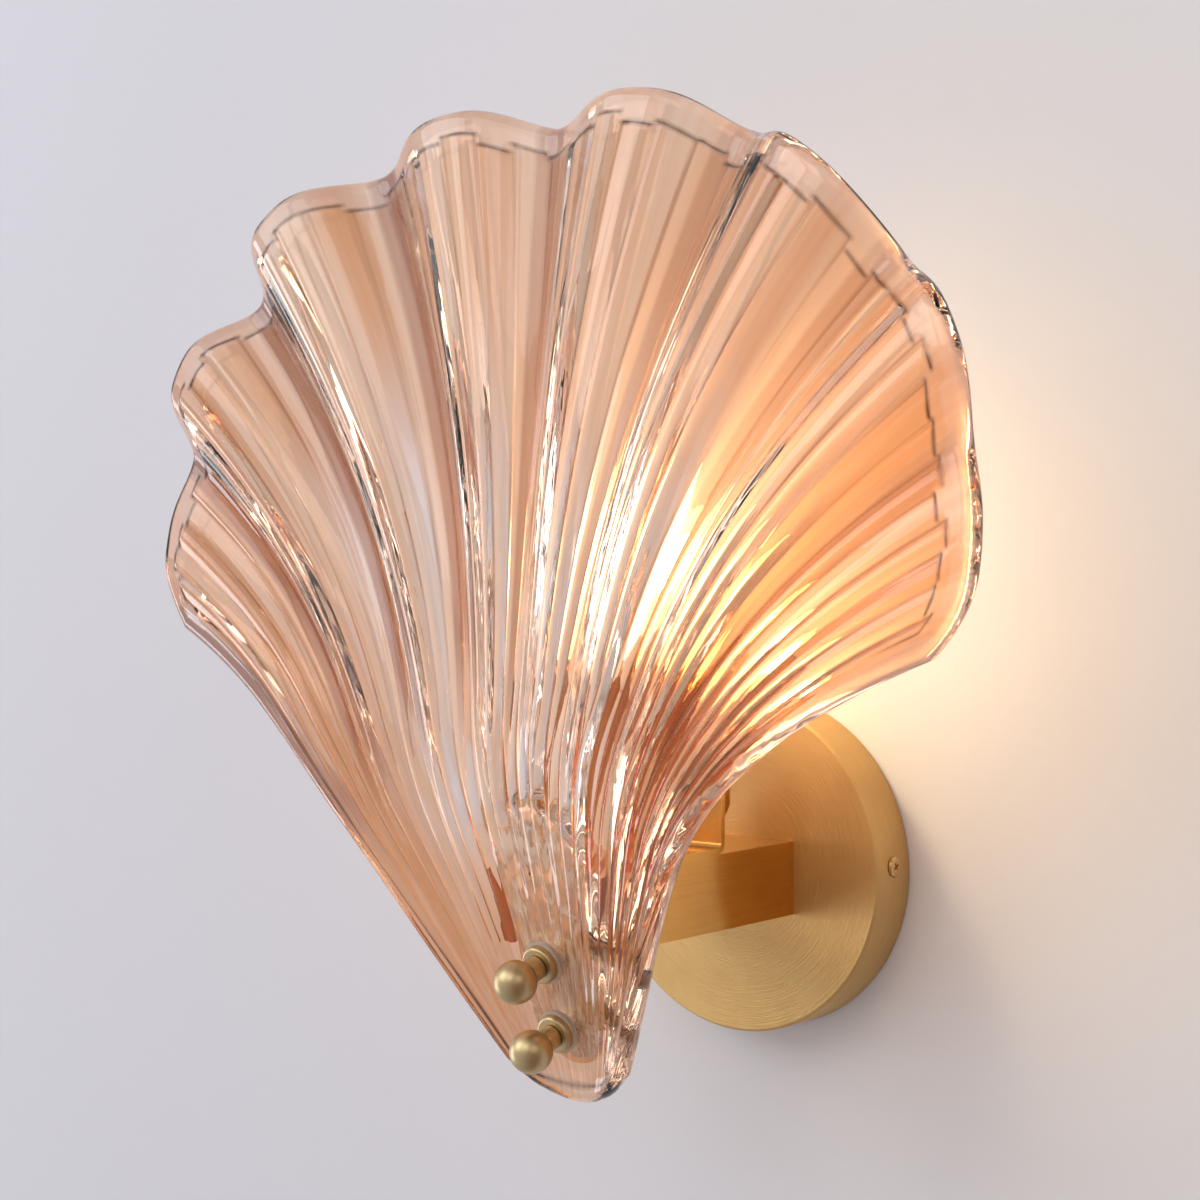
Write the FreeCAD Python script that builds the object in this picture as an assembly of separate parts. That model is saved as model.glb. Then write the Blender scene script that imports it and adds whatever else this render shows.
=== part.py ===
"""Shell wall sconce: a fluted glass shell held by two ball nuts on a box arm and a round backplate.

Millimetres. The origin is the middle of the backplate's wall side, on the wall.
+Z is up, -Y comes out of the wall, +X is to the right for someone facing the light.
"""
import FreeCAD, Part
import math
import os
from FreeCAD import Placement, Rotation, Vector

# ---- clearances -------------------------------------------------------------------------------
RUN_GAP = 0.05            # radial room of a part that turns in or on another
SLIP_GAP = 0.2            # radial room of a screw in a clearance hole
REST_GAP = 0.4            # room between pieces that pass close by
TURN_GAP = 0.3            # under a ball nut a little short of tight

# ---- backplate and its wall strap -------------------------------------------------------------
PLATE_DIAMETER = 120.0
PLATE_DEPTH = 20.0
PLATE_WALL = 1.5
PLATE_BEVEL = 0.9
STRAP_LENGTH = 100.0
STRAP_HEIGHT = 22.0
STRAP_WALL = 2.0
STRAP_EAR = 14.0          # how far the bent ears stand out of the wall
STRAP_TAB_WIDTH = 34.0
STRAP_TAB_HEIGHT = 22.0
WALL_SLOT_SPACING = 60.0
WALL_SLOT_LENGTH = 16.0
WALL_SLOT_WIDTH = 5.0
SUPPLY_HOLE_DIAMETER = 11.0
SIDE_SCREW_DIAMETER = 4.0
SIDE_SCREW_HEIGHT = 3.5   # above the plate's middle
SIDE_SCREW_INSET = 10.0   # from the wall
SIDE_HEAD_DIAMETER = 7.0
SIDE_HEAD_HEIGHT = 1.6

# ---- box arm ----------------------------------------------------------------------------------
ARM_WIDTH = 50.0
ARM_HEIGHT = 26.0
ARM_WALL = 2.0
ARM_DROP = 2.5            # of the arm's middle below the plate's middle
ARM_SCREW_DIAMETER = 4.0
ARM_SCREW_SPACING = 30.0
ARM_SCREW_LENGTH = 9.0
ARM_SCREW_HEAD_DIAMETER = 7.5
ARM_SCREW_HEAD_HEIGHT = 2.6
ARM_WASHER_DIAMETER = 9.0
ARM_WASHER_WALL = 0.8
BUSH_DIAMETER = 12.0
BUSH_BORE = 8.4
BUSH_FLANGE = 1.5
BUSH_LIP = 1.5

# ---- lampholder and its screen ----------------------------------------------------------------
LAMP_REACH = 46.0         # of the lamp's axis from the wall
NIPPLE_DIAMETER = 10.0
NIPPLE_BORE = 7.2
NIPPLE_LENGTH = 20.0
NUT_FLATS = 14.0
NUT_HEIGHT = 3.0
HOLDER_DIAMETER = 26.0
HOLDER_WALL = 1.6
DOME_HEIGHT = 15.0
DOME_FOOT_DIAMETER = 16.0
SKIRT_HEIGHT = 40.0
INSERT_HEIGHT = 8.0
THREAD_DIAMETER = 14.0    # of the small screw cap
SLEEVE_WALL = 0.6
SLEEVE_HEIGHT = 26.0
TONGUE_WIDTH = 4.0
TONGUE_LENGTH = 11.0
TONGUE_WALL = 0.6
TONGUE_DEPTH = 2.0        # of the slot that it lies in
TONGUE_POST = 2.4
SCREEN_GAP = 2.5          # between the lampholder and the screen's leg
SCREEN_WALL = 2.0
SCREEN_RISE = 54.0
SCREEN_FOOT = 38.0
SCREEN_BEND = 2.0
SCREEN_SCREW_DIAMETER = 3.0
SCREEN_SCREW_SPACING = 32.0
SCREEN_HEAD_DIAMETER = 5.6
SCREEN_HEAD_HEIGHT = 1.8

# ---- candle lamp ------------------------------------------------------------------------------
LAMP_GLASS_DIAMETER = 35.0
LAMP_GLASS_HEIGHT = 78.0
LAMP_GLASS_WALL = 0.9
LAMP_NECK_DIAMETER = 17.0
CAP_HEIGHT = 22.0
CAP_TIP_HEIGHT = 2.5
CAP_TIP_DIAMETER = 7.0
FILAMENT_COUNT = 4
FILAMENT_DIAMETER = 1.8
FILAMENT_LENGTH = 36.0
FILAMENT_SPREAD = 5.0
STEM_DIAMETER = 5.0

# ---- shell glass ------------------------------------------------------------------------------
SEAT_OUT = 126.5          # from the wall to the glass's front at the upper stud
SEAT_DROP = 20.0          # of that point below the plate's middle
SHELL_LEAN = 18.0         # forward lean of the glass's foot, degrees
CROWN_LEAN = 6.5          # backward lean of its crown, degrees
KNEE_HEIGHT = 39.3        # where the two would meet
KNEE_BLEND = 22.0
GLASS_WALL = 8.0
TIP_RADIUS = 29.9
TIP_CENTRE_HEIGHT = -36.6
TIP_SWEEP = 41.0
FAN_RADIUS = 159.7
FAN_CENTRE_HEIGHT = 87.0
FAN_SHOULDER = 12.0       # how much the fan grows at its shoulders
FAN_SWEEP = 88.4          # from the crown to a lower corner, degrees
FAN_CROWDING = 0.24       # how much narrower the lobes get towards the corners
CORNER_RADIUS = 20.0      # of the fan's two lower corners
FOOT_CORNER_RADIUS = 10.0
CORNER_SHARE = 0.85       # of a corner's turn, as a sine, that the ribs' ends take; the lip takes the rest
FOOT_SPLAY = 30.5         # of the outermost rib at the foot, degrees
RIM_SPLAY = 1.07          # of a rib at the rim, as a share of its fan angle
RIM_SPLAY_LOSS = 0.31
RIB_HANDLE = 0.44
FOOT_CURL = 3.6           # how far the sides curl forward of the middle, at the foot,
MIDDLE_CURL = 6.0         # more of it half way up,
RIM_CURL = 4.9            # and at the rim
LOBE_DEPTHS = (10.5, 18.0, 12.0, 2.0)     # how far each lobe stands out, from the crown to a corner
LOBE_SCALLOPS = (6.8, 6.8, 9.9, 2.5)      # how far each lobe's rim reaches past its valleys
LOBES_PER_SIDE = len(LOBE_DEPTHS)
LOBE_BLUNTNESS = 3.2
FLUTES_PER_LOBE = 4
FLUTE_DEPTH = 1.4
RIB_STATIONS = 9
LIP_TURNS = (76.0, 38.0)  # how far round the rim's half-round lip its stations stand, degrees
PAD_WIDTH = 38.0
PAD_RISE = 3.0            # of the flat pad from the glass's back
PAD_TOP = 52.0            # its ends, along the seat from the upper stud
PAD_FOOT = -42.0

# ---- what holds the glass ---------------------------------------------------------------------
STRIP_WIDTH = 32.0
STRIP_WALL = 3.0
STRIP_INSET = 2.0         # of the strip's ends from the pad's
PAD_GASKET = 1.5
STRIP_SCREW_DIAMETER = 4.0
STRIP_SCREW_SPACING = 20.0
STRIP_SCREW_LENGTH = 9.0
STUD_DIAMETER = 5.0
STUD_SPACING = 25.0
GLASS_HOLE_DIAMETER = 8.0
FRONT_GASKET = 1.6
FRONT_GASKET_DIAMETER = 15.0
COLLAR_DIAMETER = 13.0
COLLAR_HEIGHT = 2.6
BALL_DIAMETER = 14.3
BALL_NECK_DIAMETER = 8.0
BALL_NECK_HEIGHT = 3.6
STUD_IN_BALL = 9.0

# ---- wiring -----------------------------------------------------------------------------------
TERMINAL_WIDTH = 28.0
TERMINAL_HEIGHT = 16.0
TERMINAL_DEPTH = 12.0
TERMINAL_WAYS = 3
TERMINAL_SCREW_DIAMETER = 3.4
TERMINAL_SCREW_LENGTH = 3.0
TERMINAL_SCREW_SINK = 1.0
LEAD_DIAMETER = 2.0
LEAD_PITCH = 3.4
LEAD_BEND = 6.0
LAMP_LEAD_BEND = 4.0
LEAD_DROP = 5.0           # from the terminal block before a lead first bends
EARTH_SCREW_DIAMETER = 4.0
EARTH_HEAD_DIAMETER = 7.0
EARTH_HEAD_HEIGHT = 2.4
EARTH_TAG_DIAMETER = 8.4
EARTH_TAG_WALL = 0.8
EARTH_REACH = 30.0        # of the arm's earth tag from the wall

# ---- worked out from the above ----------------------------------------------------------------
X_AXIS = Vector(1, 0, 0)
Y_AXIS = Vector(0, 1, 0)
Z_AXIS = Vector(0, 0, 1)
OUT = Vector(0, -1, 0)
PLATE_RADIUS = PLATE_DIAMETER / 2
PLATE_INNER_RADIUS = PLATE_RADIUS - PLATE_WALL
ARM_BACK = -PLATE_DEPTH
ARM_TOP = ARM_HEIGHT / 2 - ARM_DROP
ARM_BOTTOM = -ARM_HEIGHT / 2 - ARM_DROP
SEAT = Placement(Vector(0, -SEAT_OUT, -SEAT_DROP), Rotation(X_AXIS, 90 + SHELL_LEAN))
PAD_BACK = -(GLASS_WALL + PAD_RISE)
STRIP_FRONT = PAD_BACK - PAD_GASKET
STRIP_BACK = STRIP_FRONT - STRIP_WALL
LAMP_Y = -LAMP_REACH
SCREEN_BACK = LAMP_Y - HOLDER_DIAMETER / 2 - SCREEN_GAP
DOME_TOP = ARM_TOP + DOME_HEIGHT
SKIRT_TOP = DOME_TOP + SKIRT_HEIGHT
CAP_RADIUS = THREAD_DIAMETER / 2 - RUN_GAP
SLEEVE_RADIUS = THREAD_DIAMETER / 2 + SLEEVE_WALL
SLEEVE_FOOT = SKIRT_TOP - SLEEVE_HEIGHT
CAP_TOP = SKIRT_TOP + 2.2
CAP_FOOT = CAP_TOP - CAP_HEIGHT
CAP_TIP = CAP_FOOT - CAP_TIP_HEIGHT
BALL_FOOT = FRONT_GASKET + COLLAR_HEIGHT + TURN_GAP
BALL_CENTRE = BALL_FOOT + BALL_NECK_HEIGHT + BALL_DIAMETER / 2
STUD_PLACES = (0.0, -STUD_SPACING)
STRIP_SCREW_PLACE = (SEAT_DROP - ARM_DROP) / math.cos(math.radians(SHELL_LEAN))
ARM_SCREW_XS = (-ARM_SCREW_SPACING / 2, ARM_SCREW_SPACING / 2)
LEAD_X = LEAD_PITCH / 2
TERMINAL_FOOT = STRAP_HEIGHT / 2 + 1.0


# ---- small helpers ----------------------------------------------------------------------------
def block(x, y, z):
    """A box from three (low, high) pairs."""
    size = (x[1] - x[0], y[1] - y[0], z[1] - z[0])
    return Part.makeBox(size[0], size[1], size[2], Vector(x[0], y[0], z[0]))


def rod(radius, foot, direction, length):
    return Part.makeCylinder(radius, length, foot, direction)


def tube(outer, inner, foot, direction, length):
    return rod(outer, foot, direction, length).cut(rod(inner, foot, direction, length))


def on_seat(shape):
    """Carry a shape drawn on the seat (X across, Y up the glass, Z out of it) to its place."""
    moved = shape.copy()
    moved.Placement = SEAT.multiply(moved.Placement)
    return moved


def round_ended(width, low, high, back, front):
    """A strip with half-round ends, drawn on the seat."""
    radius = width / 2
    plan = Part.Wire([
        Part.LineSegment(Vector(-radius, low + radius, 0), Vector(-radius, high - radius, 0)).toShape(),
        Part.Arc(Vector(-radius, high - radius, 0), Vector(0, high, 0),
                 Vector(radius, high - radius, 0)).toShape(),
        Part.LineSegment(Vector(radius, high - radius, 0), Vector(radius, low + radius, 0)).toShape(),
        Part.Arc(Vector(radius, low + radius, 0), Vector(0, low, 0),
                 Vector(-radius, low + radius, 0)).toShape()])
    strip = Part.Face(plan).extrude(Z_AXIS * (front - back))
    strip.translate(Z_AXIS * back)
    return strip


def turned(points, centre_y):
    """A solid of revolution about the upright axis at centre_y, from (radius, height) points."""
    corners = [Vector(r, centre_y, z) for r, z in points]
    outline = Part.makePolygon(corners + corners[:1])
    return Part.Face(outline).revolve(Vector(0, centre_y, 0), Z_AXIS, 360)


def hexagon(flats, foot_z, height, bore):
    radius = flats / math.sqrt(3)
    corners = [Vector(radius * math.cos(math.radians(60 * k)), LAMP_Y + radius * math.sin(math.radians(60 * k)),
                      foot_z) for k in range(6)]
    prism = Part.Face(Part.makePolygon(corners + corners[:1])).extrude(Z_AXIS * height)
    return prism.cut(rod(bore, Vector(0, LAMP_Y, foot_z), Z_AXIS, height))


def pan_screw(diameter, length, head_diameter, head_height, place, direction):
    """A screw whose head sits at place and whose shank runs the way of direction."""
    shank = rod(diameter / 2, place, direction, length)
    head = rod(head_diameter / 2, place - direction * head_height, direction, head_height)
    far_rims = [edge for edge in head.Edges
                if edge.isClosed() and (edge.CenterOfMass - place).dot(direction) < -head_height / 2]
    return head.makeFillet(head_height * 0.6, far_rims).fuse(shank).removeSplitter()


def group(shapes):
    return Part.Compound(list(shapes))


def lead_tube(points, bend):
    """A round lead along straight runs joined by tangent arcs."""
    edges = []
    start = points[0]
    for before, corner, after in zip(points, points[1:], points[2:]):
        arrive = (corner - before).normalize()
        leave = (after - corner).normalize()
        turn = arrive.getAngle(leave)
        setback = bend * math.tan(turn / 2)
        first = corner - arrive * setback
        last = corner + leave * setback
        toward = (leave - arrive).normalize()
        middle = corner + toward * (bend / math.cos(turn / 2) - bend)
        edges.append(Part.LineSegment(start, first).toShape())
        edges.append(Part.Arc(first, middle, last).toShape())
        start = last
    edges.append(Part.LineSegment(start, points[-1]).toShape())
    path = Part.Wire(edges)
    section = Part.Wire([Part.Circle(points[0], points[1] - points[0], LEAD_DIAMETER / 2).toShape()])
    return path.makePipeShell([section], True, False)


# ---- backplate and strap ----------------------------------------------------------------------
def backplate():
    profile = [(0, -PLATE_DEPTH), (PLATE_RADIUS - PLATE_BEVEL, -PLATE_DEPTH),
               (PLATE_RADIUS, -PLATE_DEPTH + PLATE_BEVEL), (PLATE_RADIUS, 0), (PLATE_INNER_RADIUS, 0),
               (PLATE_INNER_RADIUS, -PLATE_DEPTH + PLATE_WALL), (0, -PLATE_DEPTH + PLATE_WALL)]
    corners = [Vector(r, y, 0) for r, y in profile]
    cup = Part.Face(Part.makePolygon(corners + corners[:1])).revolve(Vector(0, 0, 0), Y_AXIS, 360)
    cup.rotate(Vector(0, 0, 0), Y_AXIS, 90)    # its seam away from the side screws
    face = Vector(0, -PLATE_DEPTH, -ARM_DROP)
    cup = cup.cut(rod(BUSH_DIAMETER / 2, face, Y_AXIS, PLATE_WALL))
    for x in ARM_SCREW_XS:
        cup = cup.cut(rod(ARM_SCREW_DIAMETER / 2 + SLIP_GAP, face + Vector(x, 0, 0), Y_AXIS, PLATE_WALL))
    for side in (-1, 1):
        seat = Vector(side * side_seat_x(), -SIDE_SCREW_INSET, SIDE_SCREW_HEIGHT)
        outward = X_AXIS * side
        cup = cup.cut(rod(SIDE_HEAD_DIAMETER / 2 + REST_GAP, seat, outward, PLATE_RADIUS))
        cup = cup.cut(rod(SIDE_SCREW_DIAMETER / 2 + SLIP_GAP, seat - outward * 3 * PLATE_WALL, outward,
                          PLATE_RADIUS))
    return cup


def side_seat_x():
    """The spot-face under a side screw's head just cleans up the plate's round side."""
    edge = SIDE_SCREW_HEIGHT + SIDE_HEAD_DIAMETER / 2 + REST_GAP
    return math.sqrt(PLATE_RADIUS ** 2 - edge ** 2)


def wall_slot(x):
    reach = (WALL_SLOT_LENGTH - WALL_SLOT_WIDTH) / 2
    slot = block((x - reach, x + reach), (-STRAP_WALL, 0), (-WALL_SLOT_WIDTH / 2, WALL_SLOT_WIDTH / 2))
    for end in (x - reach, x + reach):
        slot = slot.fuse(rod(WALL_SLOT_WIDTH / 2, Vector(end, -STRAP_WALL, 0), Y_AXIS, STRAP_WALL))
    return slot.removeSplitter()


def wall_strap():
    half = STRAP_LENGTH / 2
    tall = (-STRAP_HEIGHT / 2, STRAP_HEIGHT / 2)
    strap = block((-half, half), (-STRAP_WALL, 0), tall)
    for low in (-half, half - STRAP_WALL):
        strap = strap.fuse(block((low, low + STRAP_WALL), (-STRAP_EAR, 0), tall))
    tab_top = STRAP_HEIGHT / 2 + STRAP_TAB_HEIGHT
    strap = strap.fuse(block((-STRAP_TAB_WIDTH / 2, STRAP_TAB_WIDTH / 2), (-STRAP_WALL, 0), (0, tab_top)))
    strap = strap.removeSplitter()
    for x in (-WALL_SLOT_SPACING / 2, WALL_SLOT_SPACING / 2):
        strap = strap.cut(wall_slot(x))
    strap = strap.cut(rod(SUPPLY_HOLE_DIAMETER / 2, Vector(0, -STRAP_WALL, 0), Y_AXIS, STRAP_WALL))
    ear_line = Vector(-half, -SIDE_SCREW_INSET, SIDE_SCREW_HEIGHT)
    return strap.cut(rod(SIDE_SCREW_DIAMETER / 2 + RUN_GAP, ear_line, X_AXIS, STRAP_LENGTH))


def side_screws():
    reach = side_seat_x() - STRAP_LENGTH / 2 + STRAP_WALL + 2.0
    screws = []
    for side in (-1, 1):
        place = Vector(side * side_seat_x(), -SIDE_SCREW_INSET, SIDE_SCREW_HEIGHT)
        screws.append(pan_screw(SIDE_SCREW_DIAMETER, reach, SIDE_HEAD_DIAMETER, SIDE_HEAD_HEIGHT,
                                place, X_AXIS * -side))
    return group(screws)


# ---- arm --------------------------------------------------------------------------------------
def behind_seat(depth):
    """A big block that holds all that lies in front of the plane depth behind the seat."""
    reach = PLATE_DIAMETER + SEAT_OUT
    ahead = Part.makeBox(2 * reach, 2 * reach, reach, Vector(-reach, -reach, depth))
    return on_seat(ahead)


def arm():
    long = (-SEAT_OUT - ARM_HEIGHT, ARM_BACK)
    body = block((-ARM_WIDTH / 2, ARM_WIDTH / 2), long, (ARM_BOTTOM, ARM_TOP))
    body = body.cut(behind_seat(STRIP_BACK))
    hollow = block((-ARM_WIDTH / 2 + ARM_WALL, ARM_WIDTH / 2 - ARM_WALL),
                   (long[0], ARM_BACK - ARM_WALL), (ARM_BOTTOM + ARM_WALL, ARM_TOP - ARM_WALL))
    hollow = hollow.cut(behind_seat(STRIP_BACK - ARM_WALL))
    body = body.cut(hollow)
    back = Vector(0, ARM_BACK, -ARM_DROP)
    body = body.cut(rod(BUSH_DIAMETER / 2, back, OUT, ARM_WALL))
    for x in ARM_SCREW_XS:
        body = body.cut(rod(ARM_SCREW_DIAMETER / 2 + RUN_GAP, back + Vector(x, 0, 0), OUT, ARM_WALL))
    for x in strip_screw_xs():
        body = body.cut(on_seat(rod(STRIP_SCREW_DIAMETER / 2 + RUN_GAP,
                                    Vector(x, STRIP_SCREW_PLACE, STRIP_BACK), Z_AXIS * -1, ARM_WALL * 2)))
    body = body.cut(rod(NIPPLE_DIAMETER / 2 + RUN_GAP, Vector(0, LAMP_Y, ARM_TOP), Z_AXIS * -1, ARM_WALL))
    for x in screen_screw_xs():
        body = body.cut(rod(SCREEN_SCREW_DIAMETER / 2 + RUN_GAP,
                            Vector(x, screen_screw_y(), ARM_TOP), Z_AXIS * -1, ARM_WALL))
    return body.cut(rod(EARTH_SCREW_DIAMETER / 2 + RUN_GAP, Vector(0, -EARTH_REACH, ARM_BOTTOM), Z_AXIS, ARM_WALL))


def arm_screws():
    inside = -PLATE_DEPTH + PLATE_WALL
    return group(pan_screw(ARM_SCREW_DIAMETER, ARM_SCREW_LENGTH, ARM_SCREW_HEAD_DIAMETER,
                           ARM_SCREW_HEAD_HEIGHT, Vector(x, inside + ARM_WASHER_WALL, -ARM_DROP), OUT)
                 for x in ARM_SCREW_XS)


def arm_washers():
    inside = -PLATE_DEPTH + PLATE_WALL
    return group(tube(ARM_WASHER_DIAMETER / 2, ARM_SCREW_DIAMETER / 2 + SLIP_GAP, Vector(x, inside, -ARM_DROP),
                      Y_AXIS, ARM_WASHER_WALL) for x in ARM_SCREW_XS)


def cable_bush():
    """The snap-in bush that lines the hole through the backplate and the arm's back."""
    through = PLATE_WALL + ARM_WALL
    front = ARM_BACK - ARM_WALL
    centre = Vector(0, 0, -ARM_DROP)
    body = rod(BUSH_DIAMETER / 2, centre + Vector(0, front, 0), Y_AXIS, through)
    body = body.fuse(rod(BUSH_DIAMETER / 2 + BUSH_FLANGE, centre + Vector(0, front + through, 0),
                         Y_AXIS, BUSH_LIP))
    body = body.fuse(rod(BUSH_DIAMETER / 2 + BUSH_FLANGE / 2, centre + Vector(0, front - BUSH_LIP, 0),
                         Y_AXIS, BUSH_LIP))
    bore = rod(BUSH_BORE / 2, centre + Vector(0, front - BUSH_LIP, 0), Y_AXIS, through + 2 * BUSH_LIP)
    return body.cut(bore).removeSplitter()


# ---- lampholder -------------------------------------------------------------------------------
def lamp_point(z):
    return Vector(0, LAMP_Y, z)


def nipple():
    foot = ARM_TOP - ARM_WALL - NUT_HEIGHT - 1.5
    return tube(NIPPLE_DIAMETER / 2, NIPPLE_BORE / 2, lamp_point(foot), Z_AXIS, NIPPLE_LENGTH)


def nipple_nut():
    return hexagon(NUT_FLATS, ARM_TOP - ARM_WALL - NUT_HEIGHT, NUT_HEIGHT, NIPPLE_DIAMETER / 2 + RUN_GAP)


def holder_dome():
    """The lower half of the lampholder, screwed on the nipple."""
    outer = HOLDER_DIAMETER / 2
    foot = DOME_FOOT_DIAMETER / 2
    bore = NIPPLE_DIAMETER / 2 + RUN_GAP
    floor = ARM_TOP + DOME_HEIGHT / 2
    return turned([(bore, ARM_TOP), (foot, ARM_TOP), (foot + 0.6, ARM_TOP + 0.6),
                   (foot + 1.2, ARM_TOP + DOME_HEIGHT * 0.4), (outer - 1.2, DOME_TOP - DOME_HEIGHT * 0.3),
                   (outer, DOME_TOP - DOME_HEIGHT * 0.1), (outer, DOME_TOP),
                   (outer - HOLDER_WALL, DOME_TOP), (outer - HOLDER_WALL - 1.0, floor), (bore, floor)], LAMP_Y)


def holder_skirt():
    """The upper half, a smooth sleeve with a turned-in mouth."""
    outer = HOLDER_DIAMETER / 2
    inner = outer - HOLDER_WALL
    mouth = SLEEVE_RADIUS + REST_GAP
    return turned([(inner, DOME_TOP), (outer, DOME_TOP), (outer, SKIRT_TOP - 1.2), (outer - 1.2, SKIRT_TOP),
                   (mouth, SKIRT_TOP), (mouth, SKIRT_TOP - HOLDER_WALL), (inner, SKIRT_TOP - HOLDER_WALL)], LAMP_Y)


def holder_insert():
    """The contact carrier inside the skirt."""
    inner = HOLDER_DIAMETER / 2 - HOLDER_WALL
    foot = SLEEVE_FOOT - INSERT_HEIGHT
    puck = rod(inner - RUN_GAP, lamp_point(foot), Z_AXIS, INSERT_HEIGHT)
    reach = TONGUE_LENGTH / 2 + REST_GAP
    slot = block((-TONGUE_WIDTH / 2, TONGUE_WIDTH / 2), (LAMP_Y - reach, LAMP_Y + reach),
                 (SLEEVE_FOOT - TONGUE_DEPTH, SLEEVE_FOOT))
    puck = puck.cut(slot)
    for x in (-LEAD_X, LEAD_X):
        puck = puck.cut(rod(LEAD_DIAMETER / 2 + REST_GAP, Vector(x, LAMP_Y, foot), Z_AXIS, INSERT_HEIGHT * 0.4))
    return puck


def screw_sleeve():
    return tube(SLEEVE_RADIUS, THREAD_DIAMETER / 2, lamp_point(SLEEVE_FOOT), Z_AXIS, SLEEVE_HEIGHT)


def contact_tongue():
    """The springy strip that meets the lamp's tip."""
    wide = (-TONGUE_WIDTH / 2, TONGUE_WIDTH / 2)
    foot = SLEEVE_FOOT - TONGUE_DEPTH
    flat = block(wide, (LAMP_Y - TONGUE_LENGTH / 2, LAMP_Y + TONGUE_LENGTH / 2), (foot, foot + TONGUE_WALL))
    post = block(wide, (LAMP_Y - TONGUE_POST / 2, LAMP_Y + TONGUE_POST / 2),
                 (foot + TONGUE_WALL, CAP_TIP - REST_GAP))
    return flat.fuse(post).removeSplitter()


# ---- screen -----------------------------------------------------------------------------------
def screen_screw_xs():
    return (-SCREEN_SCREW_SPACING / 2, SCREEN_SCREW_SPACING / 2)


def screen_screw_y():
    return SCREEN_BACK - SCREEN_FOOT / 2


def lamp_screen():
    """A bent plate on the arm that hides the lampholder from the front."""
    x = -ARM_WIDTH / 2
    inner = SCREEN_BEND
    outer = SCREEN_BEND + SCREEN_WALL
    back = SCREEN_BACK
    foot = ARM_TOP
    far = back - SCREEN_FOOT
    s = math.sqrt(0.5)
    bend_centre = Vector(x, back - outer, foot + outer)
    edges = [
        Part.LineSegment(Vector(x, far, foot), Vector(x, back - outer, foot)).toShape(),
        Part.Arc(Vector(x, back - outer, foot), bend_centre + Vector(0, outer * s, -outer * s),
                 Vector(x, back, foot + outer)).toShape(),
        Part.LineSegment(Vector(x, back, foot + outer), Vector(x, back, foot + SCREEN_RISE)).toShape(),
        Part.LineSegment(Vector(x, back, foot + SCREEN_RISE),
                         Vector(x, back - SCREEN_WALL, foot + SCREEN_RISE)).toShape(),
        Part.LineSegment(Vector(x, back - SCREEN_WALL, foot + SCREEN_RISE),
                         Vector(x, back - SCREEN_WALL, foot + outer)).toShape(),
        Part.Arc(Vector(x, back - SCREEN_WALL, foot + outer), bend_centre + Vector(0, inner * s, -inner * s),
                 Vector(x, back - outer, foot + SCREEN_WALL)).toShape(),
        Part.LineSegment(Vector(x, back - outer, foot + SCREEN_WALL),
                         Vector(x, far, foot + SCREEN_WALL)).toShape(),
        Part.LineSegment(Vector(x, far, foot + SCREEN_WALL), Vector(x, far, foot)).toShape()]
    plate = Part.Face(Part.Wire(edges)).extrude(X_AXIS * ARM_WIDTH)
    for hole_x in screen_screw_xs():
        plate = plate.cut(rod(SCREEN_SCREW_DIAMETER / 2 + SLIP_GAP, Vector(hole_x, screen_screw_y(), foot),
                              Z_AXIS, SCREEN_WALL))
    return plate


def screen_screws():
    top = ARM_TOP + SCREEN_WALL
    return group(pan_screw(SCREEN_SCREW_DIAMETER, SCREEN_WALL + ARM_WALL + 1.5, SCREEN_HEAD_DIAMETER,
                           SCREEN_HEAD_HEIGHT, Vector(x, screen_screw_y(), top), Z_AXIS * -1)
                 for x in screen_screw_xs())


# ---- lamp -------------------------------------------------------------------------------------
def bulging_arc(low, high, bulge):
    """An arc between two (radius, height) points on the lamp, out from its chord by a share of it."""
    chord = Vector(high[0] - low[0], 0, high[1] - low[1])
    outward = Vector(chord.z, 0, -chord.x) * bulge
    middle = Vector((low[0] + high[0]) / 2, LAMP_Y, (low[1] + high[1]) / 2) + outward
    return Part.Arc(Vector(low[0], LAMP_Y, low[1]), middle, Vector(high[0], LAMP_Y, high[1])).toShape()


def candle_wire(radius, neck, foot, height):
    """Half the outline of a candle bulb: over the belly, on to a slender neck and straight to the point."""
    belly = (radius, foot + height * 0.36)
    slender = (radius * 0.42, foot + height * 0.86)
    corners = [Vector(slender[0], LAMP_Y, slender[1]), Vector(0, LAMP_Y, foot + height),
               Vector(0, LAMP_Y, foot), Vector(neck, LAMP_Y, foot)]
    straight = [Part.LineSegment(a, b).toShape() for a, b in zip(corners, corners[1:])]
    return Part.Wire([bulging_arc((neck, foot), belly, 0.08), bulging_arc(belly, slender, 0.1)] + straight)


def candle_solid(radius, neck, foot, height):
    return Part.Face(candle_wire(radius, neck, foot, height)).revolve(lamp_point(0), Z_AXIS, 360)


def lamp_glass():
    radius = LAMP_GLASS_DIAMETER / 2
    neck = LAMP_NECK_DIAMETER / 2
    outside = candle_solid(radius, neck, CAP_TOP, LAMP_GLASS_HEIGHT)
    wall = LAMP_GLASS_WALL
    inside = candle_solid(radius - wall, neck - wall, CAP_TOP, LAMP_GLASS_HEIGHT - 2.5 * wall)
    return outside.cut(inside)


def lamp_cap():
    """The small screw cap: a metal shell with a solid insulator towards its tip."""
    flare = LAMP_NECK_DIAMETER / 2
    skirt = SKIRT_TOP + REST_GAP
    return turned([(0, CAP_FOOT), (CAP_TIP_DIAMETER / 2, CAP_FOOT), (CAP_RADIUS, CAP_FOOT + 3.0),
                   (CAP_RADIUS, skirt), (flare, CAP_TOP), (0, CAP_TOP)], LAMP_Y)


def lamp_tip():
    return turned([(0, CAP_TIP), (CAP_TIP_DIAMETER / 4, CAP_TIP), (CAP_TIP_DIAMETER / 2, CAP_FOOT),
                   (0, CAP_FOOT)], LAMP_Y)


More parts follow.
